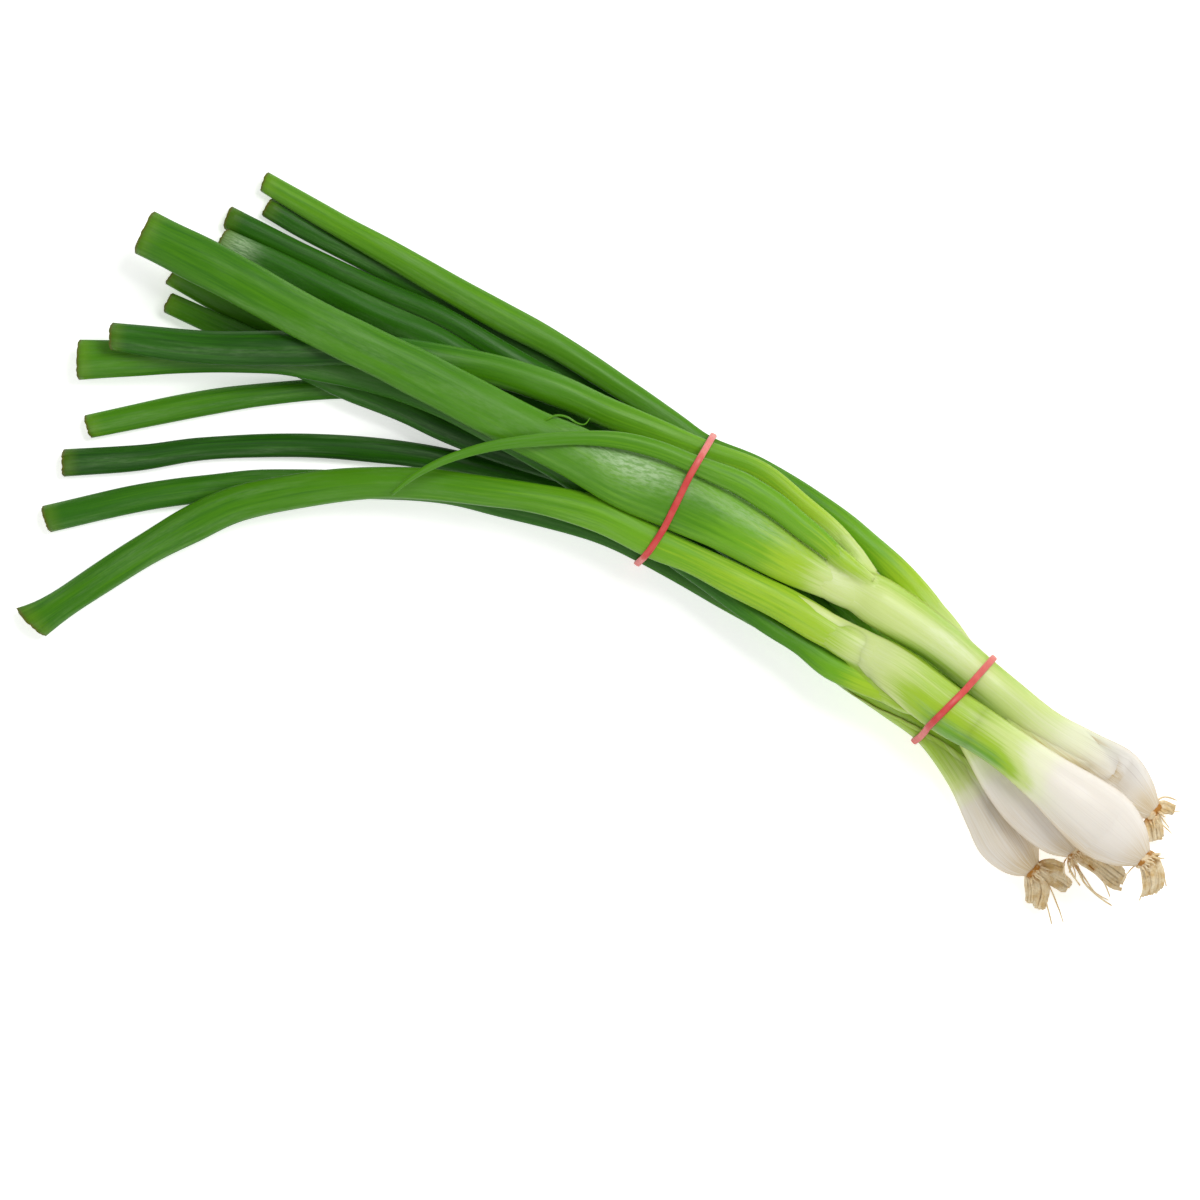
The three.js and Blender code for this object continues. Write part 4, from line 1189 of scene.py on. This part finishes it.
def nearestOnPaths(points, paths):
    # for each point: the path it belongs to, the distance along each path and the angle round
    # it, and how much of each path's look it takes
    shares, runs, turns = [], [], []
    for path in paths:
        share, run, turn = (np.zeros(len(points)) for _ in range(3))
        for start in range(0, len(points), 4000):
            here = slice(start, start + 4000)
            part = points[here]
            gaps = np.linalg.norm(part[:, None] - path["middle"][None], axis=2)
            nearest = gaps.argmin(axis=1)
            offset = part - path["middle"][nearest]
            share[here] = gaps.min(axis=1) / path["half"][nearest]
            run[here] = path["run"][nearest] + (offset * path["along"][nearest]).sum(axis=1)
            turn[here] = np.arctan2(-(offset * path["side"][nearest]).sum(axis=1),
                                    (offset * path["up"][nearest]).sum(axis=1))
        shares.append(share)
        runs.append(run)
        turns.append(turn)
    shares, runs, turns = np.array(shares), np.array(runs), np.array(turns)
    weights = 1 / (shares ** 6 + 0.02)
    return shares.argmin(axis=0), runs, turns, weights / weights.sum(axis=0)


def growBulb(strand, seed):
    look = bulbSettings
    path = finePath(strand, look["step"])
    angles = np.linspace(0, 2 * math.pi, look["sides"], endpoint=False)[None]
    size = 1 + look["ribs"] * np.sin(look["ribCount"] * angles + waves(seed, path["run"], 60, 1)[:, None])
    near = easeTo(path["run"], path["run"][-1] - look["taperReach"], path["run"][-1])[:, None]
    slim, flat = (1 - share * near for share in look["endTaper"])
    rings, _ = ovalRings(path, np.sin(angles) * size * slim, np.cos(angles) * size * flat)
    bulb, _, _ = rolledTube(pieceName(strand["node"]), rings)
    inEditMode(bulb, weldSeam, capEnds)
    own = [other for other in laidStrands if other.get("shaft") == strand["node"]]
    stubs = [stub(leaf, leafSettings["collarReach"]) for leaf in own] + webs(strand, path)
    joinInto(bulb, stubs)
    inEditMode(bulb, lambda: bpy.ops.mesh.normals_make_consistent(inside=False))
    applyModifier(bulb, "REMESH", mode="VOXEL", voxel_size=look["voxel"] * mm, use_smooth_shade=True)
    points = pointsOf(bulb)
    collar = bulb.vertex_groups.new(name="collar")
    reach = np.linalg.norm(points - path["middle"][-1], axis=1)
    for index, weight in enumerate(1 - easeTo(reach, *look["collarReach"])):
        if weight > 0:
            collar.add([index], weight, "REPLACE")
    applyModifier(bulb, "SMOOTH", factor=0.5, iterations=look["softening"])
    applyModifier(bulb, "SMOOTH", factor=0.5, iterations=look["collarSoftening"], vertex_group="collar")
    skins = [wrapSheath(strand, wrap) for wrap in sheaths.get(strand["node"], ())]
    for name in ("sheath", "dry"):
        addAttribute(bulb, name, np.zeros(len(points)))
    if skins:
        joinInto(bulb, skins)
    points = pointsOf(bulb)
    paths = [path] + [finePath(leaf, look["stubStep"]) for leaf in own]
    owner, runs, turns, weights = nearestOnPaths(points, paths)
    looks = {name: np.zeros(len(points)) for name in lookNames}
    for k, item in enumerate([strand] + own):
        for name, values in strandLooks(item, runs[k], turns[k]).items():
            looks[name] += values * weights[k]
    sheath = np.empty(len(points))
    bulb.data.attributes["sheath"].data.foreach_get("value", sheath)
    for wrap in sheaths.get(strand["node"], ()):
        looks["tone"] += (wrap.get("tone", 0) - looks["tone"]) * sheath * look["sheathTint"]
    points[:, 2] = np.maximum(points[:, 2], floorClear)
    movePoints(bulb, points)
    index = np.arange(len(points))
    theta, run = turns[owner, index], runs[owner, index]
    addGrain(bulb, theta, run, look["grainScale"], seed)
    for name, values in looks.items():
        addAttribute(bulb, name, values)
    addAttribute(bulb, "cut", np.full(len(points), uncut))
    bulb.data.materials.append(bulbSkin)
    finishPiece(bulb, "bulb", strand["node"])
    print(bulb.name, "faces", len(bulb.data.polygons))
    return bulb


# roots are a brown root plate and thin, dry threads

# threads are plan lines in millimetres, with a drop below the plate at their end and a half
# width; clumps are two such border lines between which flat fibres lie side by side
rootSettings = {
    "plateProud": 0.3,
    "plateHeights": (-0.8, -0.2, 0.3, 0.8, 1.2, 1.5, 1.6),
    "plateShares": (0.8, 0.98, 1.0, 0.9, 0.7, 0.42, 0.1),
    "fibreGap": 0.55,
    "fibreStops": 14,
    "layers": (0.6, 0, -0.6),
    "stubs": 26,
    "stubStops": 8,
    "onion_a": {
        "seed": 11, "turn": -6,
        "clumps": [([(118.2, -94.6), (119, -98.6), (119.2, -102.6)],
                    [(122.2, -94.2), (125.2, -98.4), (124.8, -102), (123.6, -105.8)], 3.5),
                   ([(123.4, -90.5), (126.6, -90.9), (130, -92.2)],
                    [(123.2, -92.3), (126.4, -93.4), (129.4, -95.4)], 1.5),
                   ([(123.2, -93.1), (127.8, -94.2), (130.6, -95.6), (132.3, -97.6)],
                    [(122.4, -94.4), (125.5, -97.3), (130, -99.9)], 4.5)],
        "threads": [([(122.5, -94.5), (124.3, -101.5), (126.3, -109)], 6, 0.36),
                    ([(123.5, -94), (126.3, -99.6), (129.7, -108.6)], 6.5, 0.3),
                    ([(120.5, -94.5), (121.4, -99.5), (123.6, -103.5)], 6, 0.32)],
    },
    "onion_b": {
        "seed": 23, "turn": 22,
        "clumps": [([(133.4, -85.3), (137.2, -87.6), (140.8, -89.7), (145.6, -92.6), (147.2, -94.9)],
                    [(131.4, -88.8), (134.2, -91.2), (138.4, -93.9), (142.6, -97.7), (146, -98.9)], 6)],
        "threads": [([(129.3, -91), (131.8, -94.8), (134, -97.7)], 6, 0.4),
                    ([(130, -89.8), (133.5, -94), (135.6, -97.6), (139.8, -101.3), (143.2, -103.6)], 8, 0.42),
                    ([(132.2, -92), (135.5, -96.2), (138.4, -99.9), (142.2, -102)], 7, 0.3),
                    ([(141, -96.2), (142.6, -101.1)], 7, 0.28),
                    ([(128.6, -90.6), (129.4, -94), (131, -97)], 5, 0.26)],
    },
    "onion_c": {
        "seed": 37, "turn": -28,
        "clumps": [([(150.4, -91), (151.6, -94.8), (152.1, -99.1), (151.2, -101.6)],
                    [(154.1, -87.8), (156.8, -92.4), (157.2, -96.6), (156.2, -99.3)], 5)],
        "threads": [([(150.5, -91.9), (151.7, -97.6), (150.8, -101.9)], 6, 0.34),
                    ([(153.4, -86.2), (156.5, -90.5), (158.4, -97.9)], 4.5, 0.34),
                    ([(148.5, -92.2), (147, -94.2), (145.9, -96.4)], 5, 0.24),
                    ([(154.4, -88.6), (157.6, -93.6), (157.4, -97.2)], 5, 0.28)],
    },
    "onion_d": {
        "seed": 51, "turn": 8,
        "clumps": [([(155.9, -74.2), (158.6, -74.2), (161.8, -75.6)],
                    [(155.5, -75.6), (158.6, -76.5), (161.2, -77.6)], 1.5),
                   ([(152.6, -79), (153.8, -82.5), (154.6, -85.4)],
                    [(155.5, -76.8), (157.2, -79.9), (158, -84.8)], 4)],
        "threads": [([(155.9, -72.8), (159, -72.5), (162.1, -73.6)], 1.5, 0.36),
                    ([(155.7, -76.8), (156.9, -77.6), (159.8, -81.4)], 4, 0.34),
                    ([(155.4, -77.6), (157.8, -80.4), (160.6, -83)], 5, 0.3),
                    ([(152, -79.4), (151.8, -83), (153, -86)], 5, 0.26)],
    },
}


def growRoots(name):
    look = rootSettings[name]
    rng = random.Random(look["seed"])
    path = finePath(byNode[name + "_bulb"], 1.0)
    foot, out = path["middle"][0], -path["along"][0]
    side, up = path["side"][0], path["up"][0]
    radius = path["half"][0] + rootSettings["plateProud"]
    # the plate: a low, lumpy dome
    theta = np.linspace(0, 2 * math.pi, 28, endpoint=False)
    lumps = 1 + 0.07 * np.sin(5 * theta + look["seed"]) + 0.05 * np.sin(9 * theta)
    rings = np.array([foot + out * h + radius * s * (np.sin(theta) * lumps)[:, None] * side
                      + radius * s * (np.cos(theta) * lumps)[:, None] * up
                      for h, s in zip(rootSettings["plateHeights"], rootSettings["plateShares"])])
    rings[..., 2] = np.maximum(rings[..., 2], floorClear)
    plate, _, _ = rolledTube(pieceName(name + "_roots"), rings)
    addAttribute(plate, "tone", np.zeros(len(plate.data.vertices)))
    inEditMode(plate, weldSeam, capEnds)
    parts = [plate]

    def lay(line, drop, half, layer=0.0, flatness=1.4, taper=0.45):
        # a fibre along a plan line, sagging from the plate towards its end
        count = len(line)
        t = np.linspace(0, 1, count)
        floor = half / flatness + 0.05
        high = np.maximum(foot[2] + layer - drop * t ** 1.4, floor)
        wobble = waves(rng.randrange(999), t, 0.7, 0.16) * t
        points = np.column_stack([line[:, 0] + wobble, line[:, 1] - wobble, high])
        # the foot of the fibre is drawn into the plate
        inward = foot[:2] + out[:2] * 0.6
        pull = np.exp(-t * count / 2.2)[:, None]
        points[:, :2] = points[:, :2] * (1 - pull * 0.55) + inward * pull * 0.55
        halves = half * (1 - taper * t ** 2) * (1 + waves(rng.randrange(999), t, 0.5, 0.15))
        parts.append(fibre(points, halves, halves / flatness))

    stops = rootSettings["fibreStops"]
    for first, second, drop in look["clumps"]:
        a, b = curveThrough(first, stops), curveThrough(second, stops)
        width = np.linalg.norm(a - b, axis=1).max()
        count = max(4, round(width / rootSettings["fibreGap"]))
        for layer in rootSettings["layers"]:
            for share in np.linspace(0, 1, count):
                share = min(max(share + rng.uniform(-0.5, 0.5) / count, 0), 1)
                keep = rng.uniform(0.78, 1.0)
                whole = a * (1 - share) + b * share
                line = smoothAt(whole, np.linspace(0, (len(whole) - 1) * keep, stops))
                lay(line, drop * rng.uniform(0.85, 1.15), rng.uniform(0.45, 0.85),
                    layer + rng.uniform(-0.3, 0.3), 2.8, 0.2)
    for route, drop, half in look["threads"]:
        lay(curveThrough(route, stops), drop, half, rng.uniform(-0.8, 0.8))
    # short stubs all round the plate, and a few threads under it
    for k in range(rootSettings["stubs"]):
        around = k / rootSettings["stubs"] * 2 * math.pi + rng.uniform(-0.1, 0.1)
        radial = side * math.cos(around) + up * math.sin(around)
        heading = out + radial * rng.uniform(0.2, 0.9) + side * math.sin(math.radians(look["turn"])) * 0.6
        heading /= np.linalg.norm(heading)
        reach = rng.uniform(1.6, 4.2) * (1.5 if k % 5 == 0 else 1)
        start = foot + out * 0.4 + radial * radius * rng.uniform(0.5, 0.85)
        t = np.linspace(0, 1, rootSettings["stubStops"])[:, None]
        points = start + heading * reach * t + side * 0.3 * np.sin(t * 7 + k) * t
        points[:, 2] = np.maximum(points[:, 2] - reach * 0.25 * t[:, 0] ** 2, 0.35)
        halves = rng.uniform(0.2, 0.34) * (1 - 0.5 * t[:, 0])
        parts.append(fibre(points, halves * 1.2, halves))
    joinInto(plate, parts[1:])
    inEditMode(plate, lambda: bpy.ops.mesh.normals_make_consistent(inside=False))
    plate.data.materials.append(rootFibre)
    finishPiece(plate, "root", name + "_roots")
    print(plate.name, "faces", len(plate.data.polygons), "parts", len(parts))
    return plate


# two rubber bands, stretched round what they hold

rubberSettings = {
    "width": 2.0,
    "thickness": 1.2,
    "gap": 0.05,
    "stops": 220,
    "sides": 14,
    "corners": 16,
    "near": 1.0,           # how close to the band's line its strands are measured
    "reach": 0.62,         # and how far out, as a share of the band's length
    "roundings": 6,
    "squareness": 0.75,
    "sway": 0.5,
    # painted light: each band is paler towards its start, the end that faces the key light
    "paintedLightAmount": 0.6,
    "paintedLightSpan": (-1.05, -0.25),
    # how far each band bows sideways, from its start (-1) to its end (1)
    "bow": {"bandUpper": [(-1, 0), (-0.4, 0.2), (0, 0.8), (0.4, 1.2), (0.75, 0.8), (1, 0)],
            "bandLower": [(-1, 0), (-0.3, 0.3), (0.2, 0), (0.6, -0.4), (0.85, 0.1), (1, 0)]},
}


def hullOf(points):
    # outline round a set of flat points, anticlockwise
    def chain(ordered):
        line = []
        for p in ordered:
            while len(line) > 1 and np.cross(line[-1] - line[-2], p - line[-2]) <= 0:
                line.pop()
            line.append(p)
        return line[:-1]
    ordered = points[np.lexsort((points[:, 1], points[:, 0]))]
    return np.array(chain(ordered) + chain(ordered[::-1]))


def stretchBand(name, pieces):
    look = rubberSettings
    band = bandSettings[name]
    middlePoint = np.array(laySettings["planMiddle"])
    start, end = (np.array(band[key], float) - middlePoint for key in ("start", "end"))
    middle = (start + end) / 2
    across = (end - start) / np.linalg.norm(end - start)
    through = np.array([-across[1], across[0]])
    away = look["gap"] + look["thickness"] / 2
    corners = np.linspace(0, 2 * math.pi, look["corners"], endpoint=False)
    circle = np.column_stack([np.cos(corners), np.sin(corners)]) * away
    reach = np.linalg.norm(end - start) * look["reach"]
    flat = []
    for piece in pieces:
        co = pointsOf(piece)
        place = co[:, :2] - middle
        near = (abs(place @ through) < look["near"]) & (abs(place @ across) < reach)
        flat.append(np.column_stack([place[near] @ across, co[near, 2]]))
    flat = hullOf(np.concatenate(flat))
    loop = hullOf((flat[:, None] + circle[None]).reshape(-1, 2))
    closed = np.vstack([loop, loop[:1]])
    run = np.append(0, np.cumsum(np.linalg.norm(np.diff(closed, axis=0), axis=1)))
    places = np.linspace(0, run[-1], look["stops"], endpoint=False)
    loop = np.column_stack([np.interp(places, run, closed[:, k]) for k in (0, 1)])
    for _ in range(look["roundings"]):
        loop = (np.roll(loop, 1, 0) + 2 * loop + np.roll(loop, -1, 0)) / 4
    tangent = np.roll(loop, -1, 0) - np.roll(loop, 1, 0)
    tangent /= np.linalg.norm(tangent, axis=1)[:, None]
    outward = np.column_stack([tangent[:, 1], -tangent[:, 0]])
    sway = waves(len(name) + 3, places, run[-1], look["sway"])
    sway = sway - sway.mean()
    theta = np.linspace(0, 2 * math.pi, look["sides"], endpoint=False)
    square = look["squareness"]
    wide = np.sign(np.cos(theta)) * abs(np.cos(theta)) ** square * look["width"] / 2
    high = np.sign(np.sin(theta)) * abs(np.sin(theta)) ** square * look["thickness"] / 2
    u = loop[:, None, 0] + outward[:, None, 0] * high
    z = loop[:, None, 1] + outward[:, None, 1] * high
    share = loop[:, 0] / (np.linalg.norm(end - start) / 2)
    bow = np.interp(share, *zip(*look["bow"][name]))
    w = wide[None] + (sway + bow)[:, None]
    plan = middle + u[..., None] * across + w[..., None] * through
    rings = np.concatenate([plan, np.maximum(z, floorClear)[..., None]], axis=2)
    rings = np.concatenate([rings, rings[:1]])
    piece, column, row = rolledTube(name, rings)
    angle = 2 * math.pi * column / look["stops"]
    # painted light: a paler share towards the band's start, the end that faces the key light
    paintedLightShare = look["paintedLightAmount"] * (1 - easeTo(share, *look["paintedLightSpan"]))
    addAttribute(piece, "pale", paintedLightShare[column % look["stops"]])
    addAttribute(piece, "grain", np.column_stack([np.cos(angle) * 20, np.sin(angle) * 20, row * 0.4]))
    inEditMode(piece, weldSeam)
    piece.data.materials.append(rubber)
    finishPiece(piece, "band", band["node"])
    return piece


# the whole bunch

pieces = []
for number, strand in enumerate(laidStrands):
    build = growBulb if strand.get("bulb") else growLeaf
    pieces.append(build(strand, number * 7 + 3))
print("bulbs and leaves made:", len(pieces))
for name in ("onion_a", "onion_b", "onion_c", "onion_d"):
    growRoots(name)
print("roots made")
for name in bandSettings:
    stretchBand(name, pieces)
print("bands made")


# table, light and camera

stageSettings = {
    "frameWidth": 0.34286,                 # what the camera spans, in metres
    "lookAt": (-0.00309, -0.01623, 0.015),
    "distance": 5.0,
    "floor": "F7F8F6",
    "world": 0.4,
    "floorGlow": 0.5,
    "key": {"energy": 12.0, "size": 0.6, "place": (0.5, 0.55, 1.2)},
    "fill": {"energy": 4.0, "size": 1.0, "place": (-0.5, -0.9, 0.9)},
}


def lamp(name, energy, size, place):
    data = bpy.data.lights.new(name, "AREA")
    data.energy = energy
    data.size = size
    light = bpy.data.objects.new(name, data)
    scene.collection.objects.link(light)
    light.location = place
    aim = Vector(stageSettings["lookAt"]) - light.location
    light.rotation_euler = aim.to_track_quat("-Z", "Y").to_euler()


bpy.ops.object.select_all(action="DESELECT")
bpy.ops.mesh.primitive_plane_add(size=8, location=(0, 0, -0.0003))
table = bpy.context.object
table.name = "tableTop"
tableTop, tree, shader = newMaterial("tableTop", Roughness=0.9)
shader.inputs["Base Color"].default_value = linear(stageSettings["floor"])
shader.inputs["Emission Color"].default_value = (1, 1, 1, 1)
shader.inputs["Emission Strength"].default_value = stageSettings["floorGlow"]
table.data.materials.append(tableTop)
lamp("keyLight", **stageSettings["key"])
lamp("fillLight", **stageSettings["fill"])
scene.world = bpy.data.worlds.new("softRoom")
scene.world.use_nodes = True
scene.world.node_tree.nodes["Background"].inputs["Color"].default_value = (1, 1, 1, 1)
scene.world.node_tree.nodes["Background"].inputs["Strength"].default_value = stageSettings["world"]
scene.view_settings.view_transform = "Standard"

cameraData = bpy.data.cameras.new("camera")
camera = bpy.data.objects.new("camera", cameraData)
scene.collection.objects.link(camera)
x, y, z = stageSettings["lookAt"]
camera.location = (x, y, z + stageSettings["distance"])
cameraData.sensor_width = 36
cameraData.lens = 36 * stageSettings["distance"] / stageSettings["frameWidth"]
cameraData.clip_end = 20
scene.camera = camera
